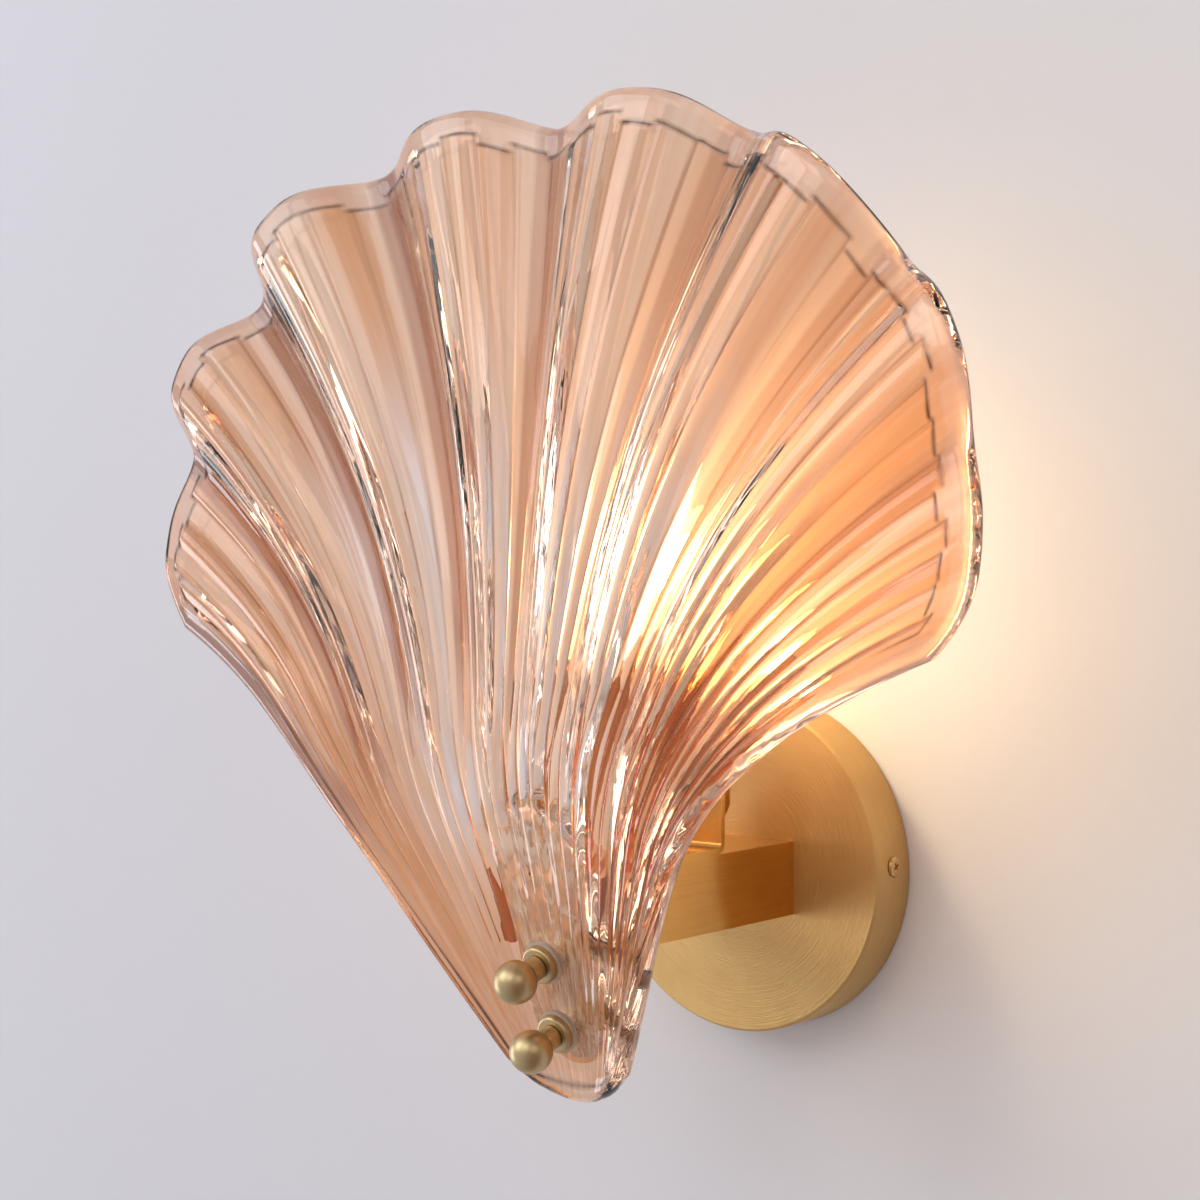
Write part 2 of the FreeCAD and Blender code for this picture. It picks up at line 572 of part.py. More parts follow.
def filament_stem():
    foot = CAP_TOP
    height = LAMP_GLASS_HEIGHT * 0.2
    return turned([(0, foot), (LAMP_NECK_DIAMETER / 2 - LAMP_GLASS_WALL - REST_GAP, foot),
                   (STEM_DIAMETER / 2, foot + height * 0.4), (STEM_DIAMETER / 2, foot + height),
                   (0, foot + height)], LAMP_Y)


def filaments():
    foot = CAP_TOP + LAMP_GLASS_HEIGHT * 0.2
    sticks = []
    for k in range(FILAMENT_COUNT):
        turn = math.radians(45 + 360 * k / FILAMENT_COUNT)
        low = lamp_point(foot) + Vector(math.cos(turn), math.sin(turn), 0) * (STEM_DIAMETER / 4)
        high = lamp_point(foot + FILAMENT_LENGTH) + Vector(math.cos(turn), math.sin(turn), 0) * FILAMENT_SPREAD
        aim = high - low
        sticks.append(rod(FILAMENT_DIAMETER / 2, low + aim * 0.02, aim, aim.Length))
    return group(sticks)


# ---- shell glass ------------------------------------------------------------------------------
def ease(value, low, high):
    t = min(max((value - low) / (high - low), 0.0), 1.0)
    return t * t * (3 - 2 * t)


def profile_slopes():
    """How fast the glass's front moves in y with height, at the foot and at the crown."""
    return -math.tan(math.radians(SHELL_LEAN)), math.tan(math.radians(CROWN_LEAN))


def profile_y(z):
    """The front of the glass on its middle line: a leaning foot, a soft knee, a crown that leans back."""
    foot, crown = profile_slopes()
    straight = -SEAT_OUT + (z + SEAT_DROP) * foot
    past = z - KNEE_HEIGHT
    if past < -KNEE_BLEND:
        return straight
    if past > KNEE_BLEND:
        return straight + (crown - foot) * past
    return straight + (crown - foot) * (past + KNEE_BLEND) ** 2 / (4 * KNEE_BLEND)


def profile_slope(z):
    foot, crown = profile_slopes()
    share = min(max((z - KNEE_HEIGHT + KNEE_BLEND) / (2 * KNEE_BLEND), 0.0), 1.0)
    return foot + (crown - foot) * share


def lobe_wave(rib):
    """0 in the valleys between lobes and 1 on their crests; rib runs from -1 to 1 across the fan."""
    return 1 - abs(math.cos(math.pi * rib * LOBES_PER_SIDE)) ** LOBE_BLUNTNESS


def lobe_of(rib, sizes):
    """The size of the lobe that a rib belongs to, where each side counts from the crown."""
    return sizes[min(int(abs(rib) * LOBES_PER_SIDE), LOBES_PER_SIDE - 1)]


def fan_angle(rib):
    return math.radians(FAN_SWEEP) * rib * (1 + FAN_CROWDING * (1 - abs(rib)))


def rib_headings(rib):
    """The way a rib heads as it leaves the foot and as it meets the rim, seen from the front."""
    foot = math.radians(FOOT_SPLAY) * rib
    rim = fan_angle(rib) * (RIM_SPLAY - RIM_SPLAY_LOSS * abs(rib))
    return Vector(math.sin(foot), 0, math.cos(foot)), Vector(math.sin(rim), 0, math.cos(rim))


def corner_turns(rib):
    """The sine of how far the foot's and the rim's edges have turned into their round corners."""
    foot_run = TIP_RADIUS * math.radians(TIP_SWEEP)
    rim_run = FAN_RADIUS * math.radians(FAN_SWEEP) * (1 - FAN_CROWDING)
    return [max(CORNER_SHARE - (1 - abs(rib)) * run / radius, 0.0)
            for run, radius in ((foot_run, FOOT_CORNER_RADIUS), (rim_run, CORNER_RADIUS))]


def rib_ends(rib):
    """Where a rib starts on the round foot and ends on the scalloped rim, seen from the front."""
    turn = math.radians(TIP_SWEEP) * rib
    start = Vector(TIP_RADIUS * math.sin(turn), 0, TIP_CENTRE_HEIGHT - TIP_RADIUS * math.cos(turn))
    fan = fan_angle(rib)
    radius = FAN_RADIUS + FAN_SHOULDER * math.sin(2 * abs(fan)) + lobe_of(rib, LOBE_SCALLOPS) * lobe_wave(rib)
    end = Vector(radius * math.sin(fan), 0, FAN_CENTRE_HEIGHT + radius * math.cos(fan))
    leave, arrive = rib_headings(rib)
    foot_turn, rim_turn = corner_turns(rib)
    start += leave * (FOOT_CORNER_RADIUS * (1 - math.sqrt(1 - foot_turn ** 2)))
    end -= arrive * (CORNER_RADIUS * (1 - math.sqrt(1 - rim_turn ** 2)))
    return start, end


def rib_plan(rib, along):
    """A rib's point and heading seen from the front: it leaves the foot steeply and flares out."""
    start, end = rib_ends(rib)
    leave, arrive = rib_headings(rib)
    handle = RIB_HANDLE * (end - start).Length
    near = start + leave * handle
    far = end - arrive * handle
    left = 1 - along
    point = (start * left ** 3 + near * (3 * left ** 2 * along) + far * (3 * left * along ** 2)
             + end * along ** 3)
    heading = ((near - start) * left ** 2 + (far - near) * (2 * left * along) + (end - far) * along ** 2)
    return point, heading.normalize()


def lobe_rise(rib, along):
    """Lobes grow out of the smooth foot and are deepest at the rim."""
    return lobe_of(rib, LOBE_DEPTHS) * lobe_wave(rib) * ease(along, 0.16, 1.25) * 1.25


def side_curl(rib, along):
    """How far the fan's sides curl forward of its middle."""
    level = FOOT_CURL * (1 - along) + MIDDLE_CURL * 4 * along * (1 - along)
    return level * rib ** 2 + RIM_CURL * along * rib ** 4


def flute_rise(rib, along):
    """Flutes run nearly to the foot, but leave the middle smooth round the studs."""
    wave = math.sin(math.pi * rib * LOBES_PER_SIDE * FLUTES_PER_LOBE) ** 2
    start = 0.2 - 0.18 * ease(abs(rib), 0.3, 0.55)
    return FLUTE_DEPTH * wave * ease(along, start, start + 0.2) * (0.45 + 0.55 * along)


def shell_walls(rib, along, side_turn, end_turn):
    """The front and back of the glass at one place; the turns carry them round the lip."""
    plan, heading = rib_plan(rib, along)
    slope = profile_slope(plan.z)
    base = Vector(plan.x, profile_y(plan.z) - lobe_rise(rib, along) - side_curl(rib, along), plan.z)
    inward = Vector(0, 1, -slope).normalize()
    front = base - Vector(0, flute_rise(rib, along), 0)
    back = base + inward * GLASS_WALL
    lengthwise = Vector(heading.x, slope * heading.z, heading.z).normalize()
    sideways = Vector(heading.z, -slope * heading.x, -heading.x).normalize()
    turn = max(abs(end_turn), abs(side_turn))
    corner = math.copysign(corner_turns(rib)[0 if end_turn < 0 else 1], rib)
    lip = (lengthwise * (math.sin(end_turn) * math.sqrt(1 - corner ** 2))
           + sideways * (math.sin(side_turn) + corner * abs(math.sin(end_turn))))
    if turn > 0:
        lip = lip * (math.sin(turn) / lip.Length * GLASS_WALL / 2)
    middle = (front + back) * 0.5 + lip
    half = (front - back) * (0.5 * math.cos(turn))
    return middle + half, middle - half


def stations(count, low):
    """Even stations from low to 1, with the lip's own before and after them."""
    lip = [math.radians(turn) for turn in LIP_TURNS]
    return ([(low, -turn) for turn in lip]
            + [(low + (1 - low) * k / count, 0.0) for k in range(count + 1)]
            + [(1.0, turn) for turn in reversed(lip)])


def rib_lines():
    """Rib curves of the front and of the back, from one side of the fan to the other."""
    rows = stations(RIB_STATIONS, 0.0)
    middle = [shell_walls(0.0, along, 0.0, turn)[0] for along, turn in rows]
    parameters = [0.0]
    for here, there in zip(middle, middle[1:]):
        parameters.append(parameters[-1] + (there - here).Length)
    fronts = []
    backs = []
    for rib, side_turn in stations(4 * LOBES_PER_SIDE * FLUTES_PER_LOBE, -1.0):
        pairs = [shell_walls(rib, along, side_turn, turn) for along, turn in rows]
        for lines, pick in ((fronts, 0), (backs, 1)):
            curve = Part.BSplineCurve()
            curve.interpolate(Points=[pair[pick] for pair in pairs], Parameters=parameters)
            lines.append(curve.toShape())
    lip = len(LIP_TURNS)
    kept = [k for k in range(len(backs)) if k < lip or k >= len(backs) - lip or (k - lip) % 2 == 0]
    return fronts, [backs[k] for k in kept], kept


def facet(*corners):
    return Part.Face(Part.makePolygon(list(corners) + [corners[0]]))


def end_land(fronts, backs, kept, end):
    """The narrow land between front and back at one end of the ribs, in small flat facets."""
    def tip(edge):
        return edge.valueAt(edge.FirstParameter if end == 0 else edge.LastParameter)
    facets = []
    for n, (first, last) in enumerate(zip(kept, kept[1:])):
        near_back = tip(backs[n])
        far_back = tip(backs[n + 1])
        chain = [tip(fronts[k]) for k in range(first, last + 1)]
        split = len(chain) // 2
        for k in range(len(chain) - 1):
            facets.append(facet(chain[k], chain[k + 1], near_back if k < split else far_back))
        facets.append(facet(chain[split], far_back, near_back))
    return facets


def fan_glass():
    """The fluted fan: ruled strips between neighbouring ribs, closed by the lands at their ends."""
    fronts, backs, kept = rib_lines()
    loop = fronts + backs[::-1]
    faces = [Part.makeRuledSurface(edge, following, 1) for edge, following in zip(loop, loop[1:] + loop[:1])]
    for end in (0, 1):
        faces += end_land(fronts, backs, kept, end)
    skin = Part.Shell(faces)
    skin.sewShape()
    glass = Part.Solid(skin)
    if glass.Volume < 0:
        glass.reverse()
    return glass


def shell_glass():
    """The fan with its flat pad for the strip behind and two holes for the studs."""
    glass = fan_glass()
    pad = round_ended(PAD_WIDTH, PAD_FOOT, PAD_TOP, PAD_BACK, -GLASS_WALL / 2)
    glass = glass.fuse(on_seat(pad))
    for place in STUD_PLACES:
        glass = glass.cut(on_seat(rod(GLASS_HOLE_DIAMETER / 2, Vector(0, place, PAD_BACK - 1),
                                      Z_AXIS, GLASS_WALL + PAD_RISE + 2)))
        glass = glass.cut(on_seat(rod(FRONT_GASKET_DIAMETER / 2 + REST_GAP, Vector(0, place, 0),
                                      Z_AXIS, FLUTE_DEPTH + 1)))
    return glass


# ---- what holds the glass ---------------------------------------------------------------------
def strip_screw_xs():
    return (-STRIP_SCREW_SPACING / 2, STRIP_SCREW_SPACING / 2)


def strip_outline(back, front):
    return round_ended(STRIP_WIDTH, PAD_FOOT + STRIP_INSET, PAD_TOP - STRIP_INSET, back, front)


def shade_strip():
    """The round-ended strip on the arm's mitred end, with countersunk and tapped holes."""
    strip = strip_outline(STRIP_BACK, STRIP_FRONT)
    shank = STRIP_SCREW_DIAMETER / 2 + SLIP_GAP
    for x in strip_screw_xs():
        strip = strip.cut(rod(shank, Vector(x, STRIP_SCREW_PLACE, STRIP_BACK), Z_AXIS, STRIP_WALL))
        strip = strip.cut(Part.makeCone(shank, STRIP_SCREW_DIAMETER + SLIP_GAP, STRIP_SCREW_DIAMETER / 2,
                                        Vector(x, STRIP_SCREW_PLACE, STRIP_FRONT - STRIP_SCREW_DIAMETER / 2),
                                        Z_AXIS))
    for place in STUD_PLACES:
        strip = strip.cut(rod(STUD_DIAMETER / 2 + RUN_GAP, Vector(0, place, STRIP_BACK), Z_AXIS, STRIP_WALL))
    return on_seat(strip)


def strip_screws():
    """Countersunk screws from the strip's front into the arm's closed end."""
    screws = []
    radius = STRIP_SCREW_DIAMETER / 2
    for x in strip_screw_xs():
        top = Vector(x, STRIP_SCREW_PLACE, STRIP_FRONT)
        head = Part.makeCone(radius, 2 * radius, radius, top - Z_AXIS * radius, Z_AXIS)
        shank = rod(radius, top - Z_AXIS * STRIP_SCREW_LENGTH, Z_AXIS, STRIP_SCREW_LENGTH - radius)
        screws.append(on_seat(head.fuse(shank).removeSplitter()))
    return group(screws)


def shade_studs():
    foot = STRIP_BACK + 0.5
    top = BALL_FOOT + STUD_IN_BALL
    return group(on_seat(rod(STUD_DIAMETER / 2, Vector(0, place, foot), Z_AXIS, top - foot))
                 for place in STUD_PLACES)


def pad_gasket():
    gasket = strip_outline(STRIP_FRONT, PAD_BACK)
    for place in STUD_PLACES:
        gasket = gasket.cut(rod(GLASS_HOLE_DIAMETER / 2, Vector(0, place, STRIP_FRONT), Z_AXIS, PAD_GASKET))
    return on_seat(gasket)


def stud_sleeves():
    """Soft sleeves that keep the studs off the glass."""
    return group(on_seat(tube(GLASS_HOLE_DIAMETER / 2 - RUN_GAP, STUD_DIAMETER / 2 + RUN_GAP,
                              Vector(0, place, STRIP_FRONT), Z_AXIS, -STRIP_FRONT)) for place in STUD_PLACES)


def front_gaskets():
    return group(on_seat(tube(FRONT_GASKET_DIAMETER / 2, STUD_DIAMETER / 2 + RUN_GAP, Vector(0, place, 0),
                              Z_AXIS, FRONT_GASKET)) for place in STUD_PLACES)


def collars():
    """Brass cup washers between the clear gaskets and the ball nuts."""
    rings = []
    for place in STUD_PLACES:
        ring = rod(COLLAR_DIAMETER / 2, Vector(0, place, FRONT_GASKET), Z_AXIS, COLLAR_HEIGHT)
        top = FRONT_GASKET + COLLAR_HEIGHT
        rims = [e for e in ring.Edges if abs(e.CenterOfMass.z - top) < 1e-6 and e.Closed]
        ring = ring.makeFillet(COLLAR_HEIGHT * 0.4, rims)
        rings.append(on_seat(ring.cut(rod(STUD_DIAMETER / 2 + RUN_GAP, Vector(0, place, 0), Z_AXIS, top))))
    return group(rings)


def ball_nut(place):
    """A ball with a short neck and a blind tapped hole."""
    foot = BALL_FOOT
    neck = rod(BALL_NECK_DIAMETER / 2, Vector(0, place, foot), Z_AXIS, BALL_NECK_HEIGHT + 2)
    ball = Part.makeSphere(BALL_DIAMETER / 2, Vector(0, place, BALL_CENTRE))
    nut = ball.fuse(neck).removeSplitter()
    hole = rod(STUD_DIAMETER / 2 + RUN_GAP, Vector(0, place, foot), Z_AXIS, STUD_IN_BALL + 0.5)
    return on_seat(nut.cut(hole))


# ---- wiring -----------------------------------------------------------------------------------
def terminal_block():
    front = -STRAP_WALL - TERMINAL_DEPTH
    body = block((-TERMINAL_WIDTH / 2, TERMINAL_WIDTH / 2), (front, -STRAP_WALL),
                 (TERMINAL_FOOT, TERMINAL_FOOT + TERMINAL_HEIGHT))
    for x in terminal_xs():
        for z in terminal_zs():
            body = body.cut(rod(TERMINAL_SCREW_DIAMETER / 2, Vector(x, front, z), Y_AXIS,
                                TERMINAL_SCREW_SINK + TERMINAL_SCREW_LENGTH))
        body = body.cut(rod(LEAD_DIAMETER / 2 + REST_GAP, Vector(x, lead_y(x), TERMINAL_FOOT), Z_AXIS,
                            lead_top() + REST_GAP - TERMINAL_FOOT))
    return body


def terminal_xs():
    pitch = TERMINAL_WIDTH / (TERMINAL_WAYS + 1)
    return [pitch * (k - (TERMINAL_WAYS - 1) / 2) for k in range(TERMINAL_WAYS)]


def terminal_zs():
    middle = TERMINAL_FOOT + TERMINAL_HEIGHT / 2
    return (middle - TERMINAL_HEIGHT / 4, middle + TERMINAL_HEIGHT / 4)


def terminal_screws():
    front = -STRAP_WALL - TERMINAL_DEPTH
    return group(rod(TERMINAL_SCREW_DIAMETER / 2 - RUN_GAP, Vector(x, front + TERMINAL_SCREW_SINK, z), Y_AXIS,
                     TERMINAL_SCREW_LENGTH) for x in terminal_xs() for z in terminal_zs())


def lead_top():
    """The leads end just short of the terminal screws."""
    return terminal_zs()[0] - TERMINAL_SCREW_DIAMETER / 2 - REST_GAP


def lead_y(x):
    """Leads to the lamp hang in front of the earth lead."""
    return -STRAP_WALL - TERMINAL_DEPTH / 2 - (LEAD_DIAMETER if abs(x) > 1e-6 else 0.0)


def lamp_lead(side):
    """From the terminal block through the bush and the arm, and up the nipple to the holder."""
    way = terminal_xs()[0 if side < 0 else -1]
    y = lead_y(way)
    x = side * LEAD_X
    z = -ARM_DROP + LEAD_DIAMETER / 2
    top = SLEEVE_FOOT - INSERT_HEIGHT * 0.6
    return lead_tube([Vector(way, y, lead_top()), Vector(way, y, TERMINAL_FOOT - LEAD_DROP),
                      Vector(x, y - LEAD_DIAMETER / 4, z), Vector(x, LAMP_Y, z), Vector(x, LAMP_Y, top)],
                     LAMP_LEAD_BEND)


def earth_lead():
    """From the block's middle way through the bush to the tag on the arm's floor."""
    y = lead_y(0.0)
    z = -ARM_DROP - LEAD_DIAMETER
    return lead_tube([Vector(0, y, lead_top()), Vector(0, y, z),
                      Vector(0, -EARTH_REACH + EARTH_SCREW_DIAMETER, z)], LEAD_BEND)


def earth_screw():
    """Screw and tag that bond the arm."""
    top = ARM_BOTTOM + ARM_WALL
    return pan_screw(EARTH_SCREW_DIAMETER, ARM_WALL + EARTH_TAG_WALL, EARTH_HEAD_DIAMETER, EARTH_HEAD_HEIGHT,
                     Vector(0, -EARTH_REACH, top + EARTH_TAG_WALL), Z_AXIS * -1)


def earth_tag():
    top = ARM_BOTTOM + ARM_WALL
    return tube(EARTH_TAG_DIAMETER / 2, EARTH_SCREW_DIAMETER / 2 + SLIP_GAP, Vector(0, -EARTH_REACH, top),
                Z_AXIS, EARTH_TAG_WALL)


def nodes():
    """Every node by name."""
    return {
        "wall_strap": wall_strap(),
        "backplate": backplate(),
        "side_screws": side_screws(),
        "arm": arm(),
        "arm_screws": arm_screws(),
        "arm_washers": arm_washers(),
        "cable_bush": cable_bush(),
        "terminal_block": terminal_block(),
        "terminal_screws": terminal_screws(),
        "live_lead": lamp_lead(-1),
        "neutral_lead": lamp_lead(1),
        "earth_lead": earth_lead(),
        "earth_screw": earth_screw(),
        "earth_tag": earth_tag(),
        "holder_nipple": nipple(),
        "nipple_nut": nipple_nut(),
        "holder_dome": holder_dome(),
        "holder_skirt": holder_skirt(),
        "holder_insert": holder_insert(),
        "screw_sleeve": screw_sleeve(),
        "contact_tongue": contact_tongue(),
        "lamp_screen": lamp_screen(),
        "screen_screws": screen_screws(),
        "lamp_glass": lamp_glass(),
        "lamp_cap": lamp_cap(),
        "lamp_tip": lamp_tip(),
        "filament_stem": filament_stem(),
        "filaments": filaments(),
        "shell_glass": shell_glass(),
        "pad_gasket": pad_gasket(),
        "shade_strip": shade_strip(),
        "strip_screws": strip_screws(),
        "shade_studs": shade_studs(),
        "stud_sleeves": stud_sleeves(),
        "front_gaskets": front_gaskets(),
        "collars": collars(),
        "upper_ball_nut": ball_nut(STUD_PLACES[0]),
        "lower_ball_nut": ball_nut(STUD_PLACES[1]),
    }


def main():
    os.makedirs("parts", exist_ok=True)
    for name, shape in nodes().items():
        shape.exportStep(os.path.join("parts", name + ".step"))


main()
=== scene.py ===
"""Dresses the shell wall sconce: fluted amber glass, brushed brass, a lit candle lamp and its fixings."""
import logging
import math
from dataclasses import dataclass
from enum import Enum
from typing import Any, Callable, Iterable, Mapping, Sequence

import bpy
from bpy.types import ColorRamp, ID, Material, MeshPolygon, Node, NodeSocket, Object, Scene
from mathutils import Matrix, Vector


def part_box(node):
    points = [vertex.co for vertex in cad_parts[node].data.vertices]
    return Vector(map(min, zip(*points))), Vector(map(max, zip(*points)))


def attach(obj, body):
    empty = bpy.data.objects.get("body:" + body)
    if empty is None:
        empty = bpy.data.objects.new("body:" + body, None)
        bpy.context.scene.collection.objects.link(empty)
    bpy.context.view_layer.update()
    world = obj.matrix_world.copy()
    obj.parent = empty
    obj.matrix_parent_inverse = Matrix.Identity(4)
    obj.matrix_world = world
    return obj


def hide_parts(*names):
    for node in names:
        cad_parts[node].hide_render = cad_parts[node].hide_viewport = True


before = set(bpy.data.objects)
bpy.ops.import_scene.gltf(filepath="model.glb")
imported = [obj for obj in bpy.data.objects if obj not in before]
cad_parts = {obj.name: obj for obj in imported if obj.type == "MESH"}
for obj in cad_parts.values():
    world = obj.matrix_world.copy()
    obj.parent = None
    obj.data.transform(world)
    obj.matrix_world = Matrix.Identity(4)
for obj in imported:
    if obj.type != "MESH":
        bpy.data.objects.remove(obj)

LOG = logging.getLogger("sconce")
MM = 0.001
SHELL_ATTRIBUTES = ("across", "along", "crest", "seam_shade", "strip", "groove", "band")
Triple = tuple[float, float, float]
Colour = Triple
Pair = tuple[float, float]
Number = "float | Value"


class Brushing(Enum):
    """Which way the brushed lines of a metal run, as the grain's scales along X, Y and Z."""

    ALONG_ARM = (60.0, 1.0, 60.0)
    NONE = (14.0, 14.0, 14.0)


# ---- shader maths -----------------------------------------------------------------------------
class Value:
    """A number that varies over a surface. Python's operators on it add Math nodes."""

    def __init__(self, paint: "Paint", socket: NodeSocket) -> None:
        """Wrap one output socket of a paint's node tree."""
        self.paint = paint
        self.socket = socket

    def _maths(self, operation: str, first: Number, second: Number, clamp: bool = False) -> "Value":
        """Add one Math node and return its result."""
        made = self.paint.node("Math", {"operation": operation, "use_clamp": clamp},
                               {0: first, 1: second})
        return Value(self.paint, made.outputs[0])

    def __add__(self, other: Number) -> "Value":
        """Sum."""
        return self._maths("ADD", self, other)

    def __radd__(self, other: Number) -> "Value":
        """Sum, reflected."""
        return self._maths("ADD", other, self)

    def __sub__(self, other: Number) -> "Value":
        """Difference."""
        return self._maths("SUBTRACT", self, other)

    def __rsub__(self, other: Number) -> "Value":
        """Difference, reflected."""
        return self._maths("SUBTRACT", other, self)

    def __mul__(self, other: Number) -> "Value":
        """Product."""
        return self._maths("MULTIPLY", self, other)

    def __rmul__(self, other: Number) -> "Value":
        """Product, reflected."""
        return self._maths("MULTIPLY", other, self)

    def __pow__(self, other: Number) -> "Value":
        """Power."""
        return self._maths("POWER", self, other)

    def clamped(self) -> "Value":
        """The number kept between 0 and 1."""
        return self._maths("ADD", self, 0.0, clamp=True)

    def wave(self) -> "Value":
        """The number's sine."""
        return self._maths("SINE", self, 0.0)

    def turn_from(self, other: "Value") -> "Value":
        """The angle, in radians, of the point (other, self) round the origin."""
        return self._maths("ARCTAN2", self, other)

    def between(self, low: float, high: float) -> "Value":
        """0 below low, 1 above high and a smooth rise in between."""
        made = self.paint.node("MapRange", {"interpolation_type": "SMOOTHSTEP"},
                               {"Value": self, "From Min": low, "From Max": high})
        return Value(self.paint, made.outputs["Result"])


class Paint:
    """One material under construction, with a single way to add nodes."""

    def __init__(self, name: str) -> None:
        """Start an empty material with its output node."""
        self.material = bpy.data.materials.new(name)
        self.material.use_nodes = True
        self.tree = self.material.node_tree
        self.tree.nodes.clear()
        self.output = self.tree.nodes.new("ShaderNodeOutputMaterial")

    def node(self, kind: str, settings: Mapping[str, Any] | None = None,
             inputs: Mapping[str | int, Any] | None = None) -> Node:
        """Add a node.

        Args:
            kind: the node's type name, after its ShaderNode.
            settings: its own settings, set first; "stops" holds a ramp's (place, colour) pairs.
            inputs: values or links for its sockets, by name or place.

        Returns:
            The new node.
        """
        made = self.tree.nodes.new("ShaderNode" + kind)
        for key, value in (settings or {}).items():
            if key == "stops":
                self._set_stops(made.color_ramp, value)
            else:
                setattr(made, key, value)
        for key, value in (inputs or {}).items():
            self.feed(made.inputs[key], value)
        return made

    @staticmethod
    def _set_stops(ramp: ColorRamp, stops: Sequence[tuple[float, Colour]]) -> None:
        """Give a ramp its stops."""
        while len(ramp.elements) < len(stops):
            ramp.elements.new(1.0)
        for element, (place, colour) in zip(ramp.elements, stops):
            element.position = place
            element.color = (*colour, 1.0)

    def feed(self, socket: NodeSocket, value: Any) -> None:
        """Set a socket to a constant, or link it."""
        if isinstance(value, Value):
            value = value.socket
        if isinstance(value, NodeSocket):
            self.tree.links.new(value, socket)
        else:
            socket.default_value = (*value, 1.0) if socket.type == "RGBA" else value

    def place(self, scale: Sequence[float] = (1.0, 1.0, 1.0),
              turn: Sequence[float] = (0.0, 0.0, 0.0)) -> NodeSocket:
        """Object coordinates, turned and scaled."""
        here = self.node("TexCoord").outputs["Object"]
        return self.node("Mapping", {}, {"Vector": here, "Rotation": tuple(turn),
                                                   "Scale": tuple(scale)}).outputs[0]

    def point(self, x: Number, y: Number, z: Number = 0.0) -> NodeSocket:
        """A place made of three numbers."""
        return self.node("CombineXYZ", {}, {0: x, 1: y, 2: z}).outputs[0]

    def axis(self, name: str) -> Value:
        """One of the object coordinates X, Y or Z, in metres."""
        here = self.node("TexCoord").outputs["Object"]
        return Value(self, self.node("SeparateXYZ", {}, {0: here}).outputs[name])

    def noise(self, where: NodeSocket, scale: float, detail: float = 3.0,
              roughness: float = 0.5) -> Value:
        """Smooth noise from 0 to 1."""
        made = self.node("TexNoise", {}, {"Vector": where, "Scale": scale, "Detail": detail,
                                                    "Roughness": roughness})
        return Value(self, made.outputs[0])

    def attribute(self, name: str) -> Value:
        """A number stored on the mesh's points."""
        made = self.node("Attribute", {"attribute_name": name})
        return Value(self, made.outputs["Fac"])

    def ramp(self, fac: Value, stops: Sequence[tuple[float, Colour]]) -> NodeSocket:
        """A colour for each value of fac."""
        return self.node("ValToRGB", {"stops": stops}, {0: fac}).outputs[0]

    def mix(self, fac: Number, first: Any, second: Any) -> NodeSocket:
        """Blend two colours."""
        made = self.node("Mix", {"data_type": "RGBA"}, {0: fac, 6: first, 7: second})
        return made.outputs[2]

    def bump(self, height: Value, strength: float, distance: float) -> NodeSocket:
        """A normal bent by a height."""
        return self.node("Bump", {}, {"Height": height, "Strength": strength,
                                                "Distance": distance}).outputs[0]

    def principled(self, **inputs: Any) -> Node:
        """A Principled shader wired to the output; underscores in names stand for spaces."""
        made = self.node("BsdfPrincipled", {}, {k.replace("_", " "): v for k, v in inputs.items()})
        self.feed(self.output.inputs["Surface"], made.outputs[0])
        return made

    def ray(self, kind: str) -> Value:
        """1 for rays of one kind, such as "Is Camera Ray", and 0 for the others."""
        return Value(self, self.node("LightPath").outputs[kind])

    def open_where(self, unseen: Value, shader: Node, tint: Colour = (1.0, 1.0, 1.0)) -> None:
        """Let rays pass straight through, tinted, where unseen is 1."""
        clear = self.node("BsdfTransparent", {}, {"Color": tint})
        mixed = self.node("MixShader", {}, {0: unseen, 1: shader.outputs[0], 2: clear.outputs[0]})
        self.feed(self.output.inputs["Surface"], mixed.outputs[0])

    def let_lamps_through(self, shader: Node, tint: Colour) -> None:
        """Let light from lamps pass, tinted, instead of throwing a black shadow."""
        self.open_where(self.ray("Is Shadow Ray"), shader, tint)

    def open_from_behind(self, shader: Node) -> None:
        """Let the camera look through the back of a sheet, so that what hangs on it shows from behind."""
        backing = Value(self, self.node("NewGeometry").outputs["Backfacing"])
        self.open_where(self.ray("Is Camera Ray") * backing, shader)


class Surround(Paint):
    """The world under construction, where a direction takes the place of a point."""

    def __init__(self, name: str) -> None:
        """Start an empty world with its output node."""
        self.world = bpy.data.worlds.new(name)
        self.world.use_nodes = True
        self.tree = self.world.node_tree
        self.tree.nodes.clear()
        self.output = self.tree.nodes.new("ShaderNodeOutputWorld")

    def toward(self, way: Sequence[float]) -> Value:
        """How nearly a direction points along way, from -1 to 1."""
        here = self.node("TexCoord").outputs["Generated"]
        made = self.node("VectorMath", {"operation": "DOT_PRODUCT"}, {0: here, 1: tuple(way)})
        return Value(self, made.outputs["Value"])


# ---- finishes ---------------------------------------------------------------------------------
@dataclass(frozen=True)
class Finish:
    """What a material looks like; each kind says how it covers a surface."""

    name: str

    def cover(self, paint: Paint) -> None:
        """Add the finish's nodes to a new material."""
        raise NotImplementedError

    def make(self) -> Material:
        """Build the material."""
        paint = Paint(self.name)
        self.cover(paint)
        return paint.material


@dataclass(frozen=True)
class TwoTone(Finish):
    """A finish that wanders between a tone and a darker shade."""

    tone: Colour
    shade: Colour


